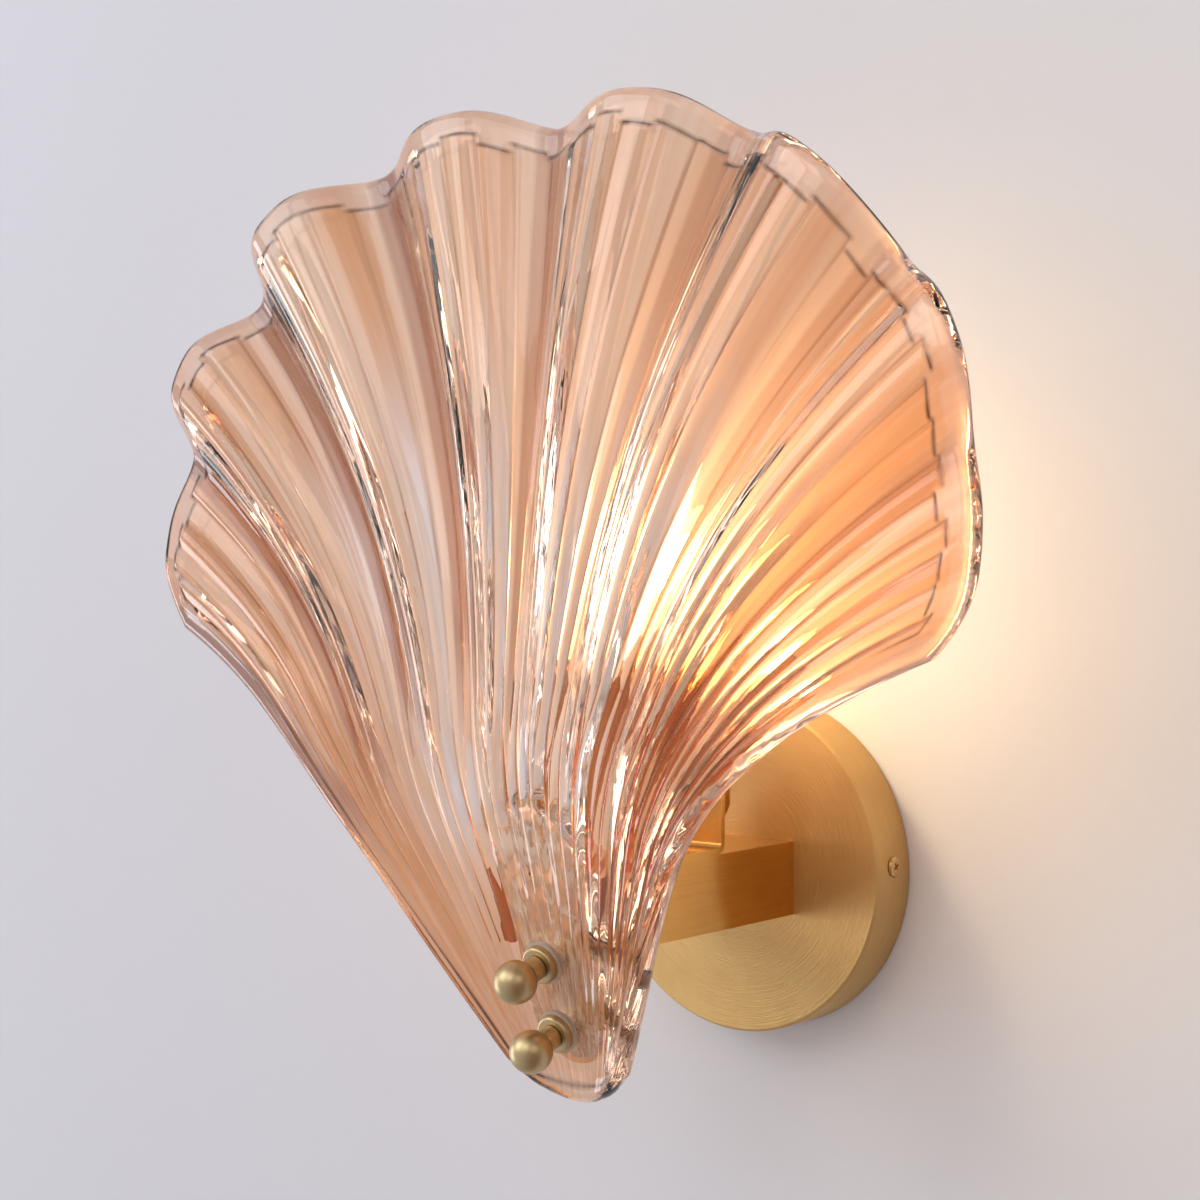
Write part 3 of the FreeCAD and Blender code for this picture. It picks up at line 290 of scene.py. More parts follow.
@dataclass(frozen=True)
class BrushedMetal(TwoTone):
    """A metal with fine brushed lines and cloudy lacquer."""

    brushing: Brushing
    gloss: float
    line_depth: float

    def cover(self, paint: Paint) -> None:
        """Lay the nodes."""
        lines = paint.noise(paint.place(self.brushing.value), 42.0, 6.0, 0.62)
        longer = tuple(scale * 0.35 + 0.6 for scale in self.brushing.value)
        strokes = paint.noise(paint.place(longer, (0.0, 0.12, 0.0)), 26.0, 3.0, 0.55)
        cloud = paint.noise(paint.place(), 22.0, 3.0, 0.5)
        fac = (cloud * 0.55 + lines * 0.3 + strokes * 0.25 - 0.05).clamped()
        colour = paint.ramp(fac, [(0.25, self.shade), (0.62, self.tone)])
        rough = self.gloss - 0.05 + lines * 0.14 + (cloud - 0.5) * 0.06
        height = lines * 0.7 + strokes * 0.5
        paint.principled(Base_Color=colour, Metallic=1.0, Roughness=rough,
                         Normal=paint.bump(height, self.line_depth, 0.0006))


@dataclass(frozen=True)
class TurnedMetal(TwoTone):
    """A metal plate with fine circular lines round the Y axis, as it comes off a polishing spindle."""

    gloss: float
    line_depth: float = 0.5
    lines_per_metre: float = 3600.0
    breaks_per_radian: float = 2.0

    def cover(self, paint: Paint) -> None:
        """Lay the nodes."""
        x, y, z = (paint.axis(name) for name in "XYZ")
        radius = (x * x + z * z) ** 0.5
        where = paint.point(radius * self.lines_per_metre, z.turn_from(x) * self.breaks_per_radian,
                            y * self.lines_per_metre)
        lines = paint.noise(where, 1.0, 3.0, 0.6)
        cloud = paint.noise(paint.place(), 22.0, 3.0, 0.5)
        colour = paint.ramp((cloud * 0.6 + lines * 0.4).clamped(), [(0.3, self.shade), (0.65, self.tone)])
        rough = self.gloss + (cloud - 0.5) * 0.08 + lines * 0.06
        paint.principled(Base_Color=colour, Metallic=1.0, Roughness=rough,
                         Normal=paint.bump(lines, self.line_depth, 0.0006))


@dataclass(frozen=True)
class ShellGlass(Finish):
    """Thick peach glass, with colour streaks along the flutes and tiny surface ripples, and painted light:
    painted shade in the valleys between lobes, along the grooves between flutes and as a dark line on the
    step of the plain band, pale painted lamp light in streaks across the middle, and a paler band that is
    partly a painted sheen of the rolled lip.

    The shell's mesh tells where each point is: across from -1 to 1 and along from foot to rim, on a crest or
    in a valley, in a groove, on the step of the plain band, in the band, and on which strip.
    """

    name: str = "amber_shell_glass"
    pale: Colour = (1.0, 0.73, 0.52)
    deep: Colour = (0.84, 0.40, 0.19)
    fold_shade: Colour = (0.30, 0.08, 0.03)
    # painted shade in the valleys between lobes and in the grooves between flutes
    clear: Colour = (1.0, 0.93, 0.90)
    # painted shade: a dark line on the step where the plain band meets the flutes
    seam_shade: Colour = (0.03, 0.008, 0.005)
    # a near-clear tint: the plain band's clearness, and painted lamp light in streaks across the middle
    lamp_tint: Colour = (0.97, 0.86, 0.75)
    narrow_streaks: float = 34.0
    broad_streaks: float = 13.0
    fine_streaks: float = 120.0
    band_clearness_and_sheen: float = 0.22
    refraction: float = 1.48
    ripple_depth: float = 0.16

    def cover(self, paint: Paint) -> None:
        """Lay the nodes."""
        across, along, crest, seam_shade, strip, groove, band = map(paint.attribute, SHELL_ATTRIBUTES)
        narrow = paint.noise(paint.point(across * self.narrow_streaks, along * 1.6), 1.0, 3.0, 0.6)
        broad = paint.noise(paint.point(across * self.broad_streaks + 4.0, along * 3.0), 1.0, 2.0, 0.5)
        streak = broad + (narrow - broad) * along.between(0.22, 0.5)
        fine = paint.noise(paint.point(across * self.fine_streaks, along * 3.0), 1.0, 2.0, 0.5)
        sides = (1.0 - across.between(-0.9, -0.4)) * 0.5 + across.between(0.3, 0.75) * 0.5
        depth = (streak.between(0.35, 0.72) * 0.6 + strip * 0.4 + sides).clamped()
        tone = paint.mix(depth, self.pale, self.deep)
        # Painted light: pale streaks across the middle, near the lamp, tinted nearly clear so that they read
        # as lit.
        middle = along.between(0.12, 0.32) * (1.0 - along.between(0.6, 0.9))
        middle = middle * (1.0 - across.between(0.35, 0.7)) * across.between(-0.75, -0.45)
        lit = ((streak + strip * 0.3).between(0.58, 0.76) * middle * 0.85).clamped()
        tone = paint.mix(lit, tone, self.clear)
        # Painted shade: darker in the valleys between lobes, more on the left side.
        fold_shade = (1.0 - crest + (streak - 0.5) * 0.12).between(0.86, 0.94) * along.between(0.3, 0.5)
        fold_shade = fold_shade * (0.85 - across.between(-0.3, 0.4) * 0.45)
        tone = paint.mix(fold_shade.clamped(), tone, self.fold_shade)
        # Painted shade: thin darker lines along the grooves between flutes.
        crease_shade = groove.between(0.45, 0.9) * fine.between(0.35, 0.6) * 0.75 * along.between(0.1, 0.4)
        tone = paint.mix(crease_shade.clamped(), tone, self.fold_shade)
        # The plain band is tinted paler: partly its plain glass, partly a painted sheen of the rolled lip.
        tone = paint.mix(band * self.band_clearness_and_sheen, tone, self.clear)
        # Painted shade: a dark line on the step of the plain band.
        colour = paint.mix((seam_shade * (0.8 + streak * 0.6)).clamped(), tone, self.seam_shade)
        shader = paint.principled(Base_Color=colour, Roughness=0.006 + fine * 0.008, IOR=self.refraction,
                                  Transmission_Weight=1.0,
                                  Normal=paint.bump(streak, self.ripple_depth, 0.0012))
        paint.let_lamps_through(shader, self.lamp_tint)


@dataclass(frozen=True)
class ClearGlass(Finish):
    """Thin lit glass."""

    tint: Colour
    glow_strength: float
    glow: Colour = (1.0, 0.74, 0.42)

    def cover(self, paint: Paint) -> None:
        """Lay the nodes."""
        grain = paint.noise(paint.place(), 60.0, 2.0)
        darker = tuple(part * 0.97 for part in self.tint)
        colour = paint.mix(grain.between(0.3, 0.8), self.tint, darker)
        shader = paint.principled(Base_Color=colour, Roughness=0.02 + grain * 0.03, IOR=1.45,
                                  Transmission_Weight=1.0, Emission_Color=self.glow,
                                  Emission_Strength=self.glow_strength)
        paint.let_lamps_through(shader, (0.97, 0.95, 0.92))


@dataclass(frozen=True)
class Moulded(TwoTone):
    """A moulded plastic, ceramic or rubber with a fine grain."""

    roughness: float = 0.45
    grain_scale: float = 900.0
    grain_depth: float = 0.08
    clearness: float = 0.0
    stripe: Colour | None = None

    def cover(self, paint: Paint) -> None:
        """Lay the nodes."""
        grain = paint.noise(paint.place(), self.grain_scale, 2.0)
        cloud = paint.noise(paint.place(), 70.0, 3.0)
        colour = paint.ramp(cloud, [(0.3, self.shade), (0.7, self.tone)])
        if self.stripe is not None:
            stripes = (paint.axis("X") * 900.0).wave()
            colour = paint.mix(stripes.between(0.2, 0.4), colour, self.stripe)
        paint.principled(Base_Color=colour, Roughness=self.roughness + (grain - 0.5) * 0.12,
                         Transmission_Weight=self.clearness,
                         Normal=paint.bump(grain, self.grain_depth, 0.0003))


@dataclass(frozen=True)
class ThreadedMetal(TwoTone):
    """Bright metal with a rolled round thread between two heights, with painted shade in the thread's
    troughs.
    """

    pitch: float
    low: float
    high: float
    centre: Pair = (0.0, -46.0 * MM)
    depth: float = 0.8
    run_out: float = 0.5 * MM

    def cover(self, paint: Paint) -> None:
        """Lay the nodes."""
        x = paint.axis("X") - self.centre[0]
        y = paint.axis("Y") - self.centre[1]
        z = paint.axis("Z")
        thread = (z * (2 * math.pi / self.pitch) + y.turn_from(x)).wave()
        band = z.between(self.low, self.low + self.run_out)
        band = band * (1.0 - z.between(self.high - self.run_out, self.high))
        cloud = paint.noise(paint.place(), 180.0, 3.0)
        # Painted shade: darker in the thread's troughs.
        trough_shade = (0.5 - thread * 0.5) * band
        colour = paint.mix((trough_shade * 0.5 + cloud * 0.3).clamped(), self.tone, self.shade)
        paint.principled(Base_Color=colour, Metallic=1.0, Roughness=0.2 + cloud * 0.15,
                         Normal=paint.bump(thread * band + cloud * 0.05, self.depth, 0.0006))


@dataclass(frozen=True)
class Glow(Finish):
    """A lit filament."""

    tone: Colour
    strength: float

    def cover(self, paint: Paint) -> None:
        """Lay the nodes."""
        grain = paint.noise(paint.place(), 500.0, 2.0)
        colour = paint.mix(grain.between(0.2, 0.8), self.tone, (1.0, 0.9, 0.66))
        paint.principled(Base_Color=colour, Roughness=0.5, Emission_Color=colour,
                         Emission_Strength=self.strength)


@dataclass(frozen=True)
class Plaster(Finish):
    """A pale painted wall, cool on the left and lighter and warmer on the right: the change across it is
    painted light, the lamp's glow to the right.
    """

    cool: Colour
    warm_glow: Colour

    def cover(self, paint: Paint) -> None:
        """Lay the nodes."""
        cloud = paint.noise(paint.place(), 3.0, 2.0)
        # Painted light: the wall lighter and warmer towards the right, as the lamp's glow.
        side = (paint.axis("X") + (cloud - 0.5) * 0.12).between(-0.35, 0.55)
        colour = paint.mix(side, self.cool, self.warm_glow)
        grain = paint.noise(paint.place(), 260.0, 3.0)
        shader = paint.principled(Base_Color=colour, Roughness=0.85, Normal=paint.bump(grain, 0.05, 0.0004))
        paint.open_from_behind(shader)


BRASS_TONE: Colour = (0.74, 0.50, 0.235)
FACE_BRASS = TurnedMetal("face_turned_brass", (0.74, 0.50, 0.21), (0.56, 0.35, 0.13), 0.42)
ARM_BRASS = BrushedMetal("arm_satin_brass", (0.86, 0.49, 0.14), (0.66, 0.34, 0.09),
                         Brushing.ALONG_ARM, 0.12, 0.03)
BALL_BRASS = BrushedMetal("turned_satin_brass", (0.62, 0.48, 0.26), (0.5, 0.37, 0.19),
                          Brushing.NONE, 0.38, 0.03)
SCREW_BRASS = BrushedMetal("screw_brass", BRASS_TONE, (0.5, 0.3, 0.13), Brushing.NONE, 0.16, 0.02)
ZINC = BrushedMetal("zinc_plate", (0.66, 0.66, 0.65), (0.47, 0.47, 0.46), Brushing.NONE, 0.3, 0.04)
SHELL = ShellGlass()
SILICONE = Moulded("clear_silicone", (0.92, 0.88, 0.84), (0.86, 0.8, 0.75), 0.3, 400.0, 0.04, 0.7)
PAD_SILICONE = Moulded("pad_silicone", (0.9, 0.87, 0.84), (0.84, 0.81, 0.78), 0.4, 400.0, 0.04)
NYLON = Moulded("white_nylon", (0.84, 0.83, 0.8), (0.78, 0.77, 0.73), 0.42)
LIVE = Moulded("brown_insulation", (0.25, 0.10, 0.045), (0.2, 0.08, 0.035), 0.35)
NEUTRAL = Moulded("blue_insulation", (0.05, 0.14, 0.5), (0.04, 0.11, 0.42), 0.35)
EARTH = Moulded("green_insulation", (0.1, 0.42, 0.08), (0.08, 0.35, 0.07), 0.35,
                stripe=(0.85, 0.72, 0.06))
BULB = ClearGlass("lit_bulb_glass", (1.0, 0.97, 0.92), 0.9)
THREAD_PITCH = 2.8 * MM
THREAD_HIGH = 65.0 * MM
CAP_NICKEL = ThreadedMetal("cap_nickel", (0.78, 0.76, 0.7), (0.5, 0.47, 0.42),
                           THREAD_PITCH, 48.0 * MM, THREAD_HIGH)
SLEEVE_BRASS = ThreadedMetal("sleeve_brass", BRASS_TONE, (0.60, 0.38, 0.16),
                             THREAD_PITCH, 40.0 * MM, THREAD_HIGH)
FILAMENT = Glow("lit_filament", (1.0, 0.68, 0.32), 120.0)
WALL_PAINT = Plaster("wall_paint", (0.735, 0.735, 0.78), (0.84, 0.855, 0.845))


# ---- modelling helpers ------------------------------------------------------------------------
class Bench:
    """What every sub-assembly uses to model a piece by hand and finish it."""

    @staticmethod
    def clear_selection() -> None:
        """Leave edit mode and select nothing."""
        if bpy.context.object is not None and bpy.context.object.mode != "OBJECT":
            bpy.ops.object.mode_set(mode="OBJECT")
        bpy.ops.object.select_all(action="DESELECT")

    @staticmethod
    def take(piece: Object) -> Object:
        """Select one piece alone and make it active."""
        Bench.clear_selection()
        piece.select_set(True)
        bpy.context.view_layer.objects.active = piece
        return piece

    @staticmethod
    def fix_place() -> None:
        """Put the selected pieces' places in their meshes."""
        bpy.ops.object.transform_apply(location=True, rotation=True, scale=True)

    @staticmethod
    def hang(name: str, data: ID, matrix: Matrix) -> Object:
        """Put a lamp or a camera in the scene."""
        holder = bpy.data.objects.new(name, data)
        holder.matrix_world = matrix
        bpy.context.scene.collection.objects.link(holder)
        return holder

    @staticmethod
    def settle(piece: Object, name: str, smooth_angle: float = 35.0) -> Object:
        """Put the piece's place in its mesh, smooth it and name it.

        Args:
            piece: the object to finish.
            name: its name in the visual model.
            smooth_angle: edges sharper than this, in degrees, stay sharp.

        Returns:
            The same object.
        """
        Bench.take(piece)
        Bench.fix_place()
        bpy.ops.object.shade_smooth_by_angle(angle=math.radians(smooth_angle))
        piece.name = name
        piece.data.name = name
        return piece

    @staticmethod
    def add_modifier(piece: Object, kind: str, **settings: Any) -> None:
        """Add one modifier and apply it."""
        Bench.take(piece)
        modifier = piece.modifiers.new(kind.lower(), kind)
        for key, value in settings.items():
            setattr(modifier, key, value)
        bpy.ops.object.modifier_apply(modifier=modifier.name)

    @staticmethod
    def select_faces(piece: Object, wanted: Callable[[MeshPolygon], bool]) -> None:
        """In edit mode, select just the faces that wanted picks by their place or normal."""
        Bench.take(piece)
        bpy.ops.object.mode_set(mode="EDIT")
        bpy.ops.mesh.select_mode(type="FACE")
        bpy.ops.mesh.select_all(action="DESELECT")
        bpy.ops.object.mode_set(mode="OBJECT")
        for face in piece.data.polygons:
            face.select = wanted(face)
        bpy.ops.object.mode_set(mode="EDIT")

    @staticmethod
    def dress(node: str, finish: Material) -> None:
        """Give a CAD node its finish."""
        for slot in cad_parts[node].material_slots:
            slot.material = finish

    @staticmethod
    def copy_of(piece: Object, matrix: Matrix) -> Object:
        """A copy with its own mesh, moved by matrix."""
        copy = piece.copy()
        copy.data = piece.data.copy()
        bpy.context.scene.collection.objects.link(copy)
        copy.matrix_world = matrix
        return copy

    @staticmethod
    def join(pieces: Sequence[Object]) -> Object:
        """Join pieces into the first of them."""
        Bench.clear_selection()
        for piece in pieces:
            piece.select_set(True)
        bpy.context.view_layer.objects.active = pieces[0]
        bpy.ops.object.join()
        return pieces[0]


def aim(place: Sequence[float], direction: Sequence[float]) -> Matrix:
    """The matrix that carries +Z to direction and the origin to place."""
    turn = Vector((0.0, 0.0, 1.0)).rotation_difference(Vector(direction)).to_matrix().to_4x4()
    return Matrix.Translation(Vector(place)) @ turn


# ---- the shell --------------------------------------------------------------------------------
@dataclass
class GlassShell:
    """The fluted fan of glass, in millimetres, on the same formulas as the solid but finer.

    A place on it is given by rib, from -1 at the left side to 1 at the right, and along, from 0 at
    the foot to 1 at the rim.
    """

    seat_out: float = 126.5
    seat_drop: float = 20.0
    lean: float = 18.0
    crown_lean: float = 6.5
    knee_height: float = 39.3
    knee_blend: float = 22.0
    wall: float = 8.0
    tip_radius: float = 29.9
    tip_centre: float = -36.6
    tip_sweep: float = 41.0
    fan_radius: float = 159.7
    fan_centre: float = 87.0
    fan_shoulder: float = 12.0
    fan_sweep: float = 88.4
    fan_crowding: float = 0.24
    corner_radius: float = 20.0
    foot_corner_radius: float = 10.0
    corner_share: float = 0.85
    foot_splay: float = 30.5
    rim_splay: float = 1.07
    rim_splay_loss: float = 0.31
    handle: float = 0.44
    foot_curl: float = 3.6
    middle_curl: float = 6.0
    rim_curl: float = 4.9
    lobe_depths: tuple[float, ...] = (10.5, 18.0, 12.0, 2.0)
    lobe_scallops: tuple[float, ...] = (6.8, 6.8, 9.9, 2.5)
    lobes_per_side: int = 4
    bluntness: float = 3.2
    flutes_per_lobe: int = 6
    flute_depth: float = 1.3
    pairing: Pair = (0.3, 0.42)
    hand: float = 2.4
    rib_bow: float = 1.03
    rim_band: float = 5.0
    rim_steps: float = 1.5
    foot_band: float = 2.5
    side_band: float = 3.0
    band_ease: float = 0.7
    bead: float = 0.7
    columns_per_flute: int = 6
    lip_steps: int = 6
    row_counts: tuple[int, int, int] = (14, 94, 38)
    row_shares: Pair = (0.06, 0.93)
    hole_radius: float = 4.0
    drill_depth: float = 6.0
    drill_length: float = 30.0
    pad_half_width: float = 19.0
    pad_low: float = -42.0
    pad_high: float = 52.0
    pad_rise: float = 3.0
    pad_slope: Pair = (-2.5, 8.0)
    pad_lip: float = 0.9
    stud_spacing: float = 25.0

    @staticmethod
    def ease(value: float, low: float, high: float) -> float:
        """0 below low, 1 above high, smooth in between."""
        t = min(max((value - low) / (high - low), 0.0), 1.0)
        return t * t * (3 - 2 * t)

    def profile(self, z: float) -> Pair:
        """The front of the glass on its middle line.

        Args:
            z: height.

        Returns:
            Its y and how fast y changes with z.
        """
        foot = -math.tan(math.radians(self.lean))
        crown = math.tan(math.radians(self.crown_lean))
        straight = -self.seat_out + (z + self.seat_drop) * foot
        past = z - self.knee_height
        share = min(max((past + self.knee_blend) / (2 * self.knee_blend), 0.0), 1.0)
        if past > self.knee_blend:
            bend = (crown - foot) * past
        else:
            bend = (crown - foot) * max(past + self.knee_blend, 0.0) ** 2 / (4 * self.knee_blend)
        return straight + bend, foot + (crown - foot) * share

    def crest(self, rib: float) -> float:
        """0 in the valleys between lobes, 1 on their crests."""
        return 1 - abs(math.cos(math.pi * rib * self.lobes_per_side)) ** self.bluntness

    def fan(self, rib: float) -> float:
        """A rib's angle on the rim, in radians from straight up."""
        return math.radians(self.fan_sweep) * rib * (1 + self.fan_crowding * (1 - abs(rib)))

    def lobe_of(self, rib: float, sizes: Sequence[float]) -> float:
        """The size of the lobe that a rib belongs to, where each side counts from the crown."""
        return sizes[min(int(abs(rib) * self.lobes_per_side), self.lobes_per_side - 1)]

    def rib_headings(self, rib: float) -> tuple[Vector, Vector]:
        """The way a rib heads as it leaves the foot and as it meets the rim, seen from the front."""
        foot = math.radians(self.foot_splay) * rib
        rim = self.fan(rib) * (self.rim_splay - self.rim_splay_loss * abs(rib))
        return Vector((math.sin(foot), 0, math.cos(foot))), Vector((math.sin(rim), 0, math.cos(rim)))

    def corner_turns(self, rib: float) -> Pair:
        """The sine of how far the foot's and the rim's edges have turned into their round corners."""
        foot_run = self.tip_radius * math.radians(self.tip_sweep) / self.foot_corner_radius
        rim_run = self.fan_radius * math.radians(self.fan_sweep)
        rim_run = rim_run * (1 - self.fan_crowding) / self.corner_radius
        left = 1 - abs(rib)
        return max(self.corner_share - left * foot_run, 0.0), max(self.corner_share - left * rim_run, 0.0)

    def rib_ends(self, rib: float) -> tuple[Vector, Vector]:
        """Where a rib starts on the round foot and ends on the scalloped rim, seen from the front."""
        turn = math.radians(self.tip_sweep) * rib
        start = Vector((math.sin(turn), 0, -math.cos(turn))) * self.tip_radius
        start.z += self.tip_centre
        fan = self.fan(rib)
        radius = self.fan_radius + self.fan_shoulder * math.sin(2 * abs(fan))
        radius += self.lobe_of(rib, self.lobe_scallops) * self.crest(rib)
        end = Vector((radius * math.sin(fan), 0, self.fan_centre + radius * math.cos(fan)))
        leave, arrive = self.rib_headings(rib)
        foot_turn, rim_turn = self.corner_turns(rib)
        start += leave * (self.foot_corner_radius * (1 - math.sqrt(1 - foot_turn ** 2)))
        end -= arrive * (self.corner_radius * (1 - math.sqrt(1 - rim_turn ** 2)))
        return start, end

    def rib_plan(self, rib: float, along: float) -> tuple[Vector, Vector]:
        """A rib's point and heading seen from the front."""
        start, end = self.rib_ends(rib)
        leave, arrive = self.rib_headings(rib)
        handle = self.handle * (end - start).length
        near = start + leave * handle
        far = end - arrive * handle
        left = 1 - along
        point = (start * left ** 3 + near * (3 * left ** 2 * along) + far * (3 * left * along ** 2)
                 + end * along ** 3)
        heading = (near - start) * left ** 2 + (far - near) * (2 * left * along) + (end - far) * along ** 2
        return point, heading.normalized()

    def flute_place(self, rib: float) -> float:
        """A rib's place counted in flutes from the middle."""
        return rib * self.lobes_per_side * self.flutes_per_lobe

    def inside(self, rib: float, along: float) -> float:
        """How far a place is inside the plain band round the edges, whose step is uneven at the rim."""
        flute = math.floor(self.flute_place(rib))
        start, end = self.rib_ends(rib)
        length = (end - start).length * self.rib_bow
        half_width = abs(self.rib_plan(1.0, along)[0].x)
        past_rim = (1 - along) * length - self.rim_band - self.rim_steps * math.sin(flute * self.hand)
        past_foot = along * length - self.foot_band
        past_side = (1 - abs(rib)) * half_width - self.side_band
        return min(past_rim, past_foot, past_side)

    def plain_share(self, rib: float, along: float) -> float:
        """1 in the plain band round the edges, 0 among the flutes."""
        return 1 - self.ease(self.inside(rib, along), -self.band_ease, self.band_ease)

    def uneven(self, number: float, low: float, high: float) -> float:
        """A size between low and high that differs from flute to flute, as hand-pressed ones do."""
        return low + (high - low) * (0.5 + 0.5 * math.sin(number * self.hand + 0.7))

    def ridge(self, place: float) -> float:
        """A lopsided round ridge between each two whole numbers, 0 where they meet."""
        number = math.floor(place + 0.0001)
        lopsided = max(place - number, 0.0) ** self.uneven(number, 0.65, 1.5)
        height = math.sin(math.pi * lopsided) ** 0.9 if 0 < lopsided < 1 else 0.0
        return height * self.uneven(number + 40, 0.6, 1.3)

    def flute(self, rib: float, along: float, plain: float) -> float:
        """How far the front stands out: flutes that pair up to the foot, and a bead round the edges."""
        place = self.flute_place(rib)
        paired = 1 - self.ease(along + 0.04 * math.sin(place * 1.7), *self.pairing)
        start = 0.1 - 0.09 * self.ease(abs(rib), 0.25, 0.5)
        grown = self.ease(along, start, start + 0.18)
        wave = (self.ridge(place) * (1 - paired) * (0.45 + 0.55 * along)
                + self.ridge(place / 2 + 0.5) * paired * (0.25 + 2.6 * along))
        return self.flute_depth * wave * grown * (1 - plain) + self.bead * plain

    def groove(self, rib: float, along: float, plain: float) -> float:
        """1 in the creases between flutes, 0 on their backs."""
        place = self.flute_place(rib)
        share = abs(place - round(place))
        if along <= sum(self.pairing) / 2:
            pair = place / 2 + 0.5
            share = abs(pair - round(pair)) * 1.6
        return max(1 - 4.5 * share, 0.0) * (1 - plain)

    def curl(self, rib: float, along: float) -> float:
        """How far the fan's sides curl forward of its middle."""
        level = self.foot_curl * (1 - along) + self.middle_curl * 4 * along * (1 - along)
        return level * rib ** 2 + self.rim_curl * along * rib ** 4

    def walls(self, rib: float, along: float, side_turn: float, end_turn: float) -> tuple[Vector, Vector]:
        """The front and back of the glass at one place; the turns carry them round the lip."""
        plan, heading = self.rib_plan(rib, along)
        y, slope = self.profile(plan.z)
        lobe = self.lobe_of(rib, self.lobe_depths) * self.crest(rib)
        lobe *= self.ease(along, 0.16, 1.25) * 1.25
        base = Vector((plan.x, y - lobe - self.curl(rib, along), plan.z))
        inward = Vector((0, 1, -slope)).normalized()
        front = base - Vector((0, self.flute(rib, along, self.plain_share(rib, along)), 0))
        back = base + inward * self.wall
        lengthwise = Vector((heading.x, slope * heading.z, heading.z)).normalized()
        sideways = Vector((heading.z, -slope * heading.x, -heading.x)).normalized()
        turn = max(abs(end_turn), abs(side_turn))
        corner = math.copysign(self.corner_turns(rib)[0 if end_turn < 0 else 1], rib)
        lip = (lengthwise * (math.sin(end_turn) * math.sqrt(1 - corner ** 2))
               + sideways * (math.sin(side_turn) + corner * abs(math.sin(end_turn))))
        if turn > 0:
            lip = lip * (math.sin(turn) / lip.length * self.wall / 2)
        middle = (front + back) * 0.5 + lip
        half = (front - back) * (0.5 * math.cos(turn))
        return middle + half, self.with_pad(middle - half, turn)

    def seat_place(self, point: Vector) -> Pair:
        """A point's distance up the seat from the upper stud, and out of it."""
        lean = math.radians(self.lean)
        y = point.y + self.seat_out
        z = point.z + self.seat_drop
        return -y * math.sin(lean) + z * math.cos(lean), -y * math.cos(lean) - z * math.sin(lean)

    def with_pad(self, point: Vector, turn: float) -> Vector:
        """A point of the back, raised where the flat pad for the strip stands."""
        up, out = self.seat_place(point)
        radius = self.pad_half_width
        past = max(self.pad_low + radius - up, up - self.pad_high + radius, 0.0)
        reach = math.hypot(point.x, past) if past > 0 else abs(point.x)
        share = 1 - self.ease(reach, radius + self.pad_slope[0], radius + self.pad_slope[1])
        if share <= 0 or turn > self.pad_lip:
            return point
        lean = math.radians(self.lean)
        drop = out + self.wall + self.pad_rise
        return point + Vector((0, math.cos(lean), math.sin(lean))) * (drop * share)

    def with_lips(self, shares: Sequence[float]) -> list[Pair]:
        """Stations, each with its turn round the lip: none but at both ends."""
        lip = [math.pi / 2 * (1 - k / self.lip_steps) for k in range(self.lip_steps)]
        return ([(shares[0], -turn) for turn in lip] + [(share, 0.0) for share in shares]
                + [(shares[-1], turn) for turn in reversed(lip)])

    def rows(self) -> list[Pair]:
        """Stations from foot to rim, close together at both ends."""
        foot, middle, rim = self.row_counts
        low, high = self.row_shares
        shares = [low * k / foot for k in range(foot)]
        shares += [low + (high - low) * k / middle for k in range(middle)]
        shares += [high + (1 - high) * k / rim for k in range(rim)]
        return self.with_lips(shares + [1.0])

    def columns(self) -> list[Pair]:
        """Stations across the fan."""
        count = 2 * self.lobes_per_side * self.flutes_per_lobe * self.columns_per_flute
        return self.with_lips([-1 + 2 * k / count for k in range(count + 1)])

    def tell(self, rib: float, along: float, front: bool) -> tuple[float, ...]:
        """What the glass's finish has to know of one place, in the order of SHELL_ATTRIBUTES."""
        plain = self.plain_share(rib, along)
        # how near the step of the plain band, where a line of shade is painted
        seam_shade = max(1 - abs(self.inside(rib, along)), 0.0) if front else 0.0
        strip = self.uneven(math.floor(self.flute_place(rib) + 0.0001) + 11, 0.0, 1.0)
        groove = self.groove(rib, along, plain) if front else 0.0
        return rib, along, self.crest(rib), seam_shade, strip, groove, plain

    def skin(self, front: bool) -> Object:
        """One face of the glass: a primitive grid laid on the front or the back of the fan."""
        Bench.clear_selection()
        columns = self.columns()
        rows = self.rows()
        wide, high = len(columns) - 1, len(rows) - 1
        bpy.ops.mesh.primitive_grid_add(x_subdivisions=wide, y_subdivisions=high, size=2)
        skin = bpy.context.object
        mesh = skin.data
        for name in SHELL_ATTRIBUTES:
            mesh.attributes.new(name, "FLOAT", "POINT")
        told = [mesh.attributes[name].data for name in SHELL_ATTRIBUTES]
        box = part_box("shell_glass")
        for vertex in mesh.vertices:
            rib, side_turn = columns[round((vertex.co.x + 1) / 2 * wide)]
            along, end_turn = rows[round((vertex.co.y + 1) / 2 * high)]
            point = self.walls(rib, along, side_turn, end_turn)[0 if front else 1]
            vertex.co = [min(max(value * MM, least), most) for value, least, most in zip(point, *box)]
            for store, value in zip(told, self.tell(rib, along, front)):
                store[vertex.index].value = value
        return skin

    def build(self) -> Object:
        """Model the glass: two skins that meet round the lip, with two drilled holes."""
        glass = Bench.join([self.skin(True), self.skin(False)])
        Bench.take(glass)
        bpy.ops.object.mode_set(mode="EDIT")
        bpy.ops.mesh.select_all(action="SELECT")
        bpy.ops.mesh.remove_doubles(threshold=0.00002)
        bpy.ops.mesh.normals_make_consistent(inside=False)
        bpy.ops.object.mode_set(mode="OBJECT")
        self.drill(glass)
        Bench.settle(glass, "shell_glass_dressed", 32.0)
        glass.data.materials.clear()
        glass.data.materials.append(SHELL.make())
        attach(glass, "sconce")
        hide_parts("shell_glass")
        return glass

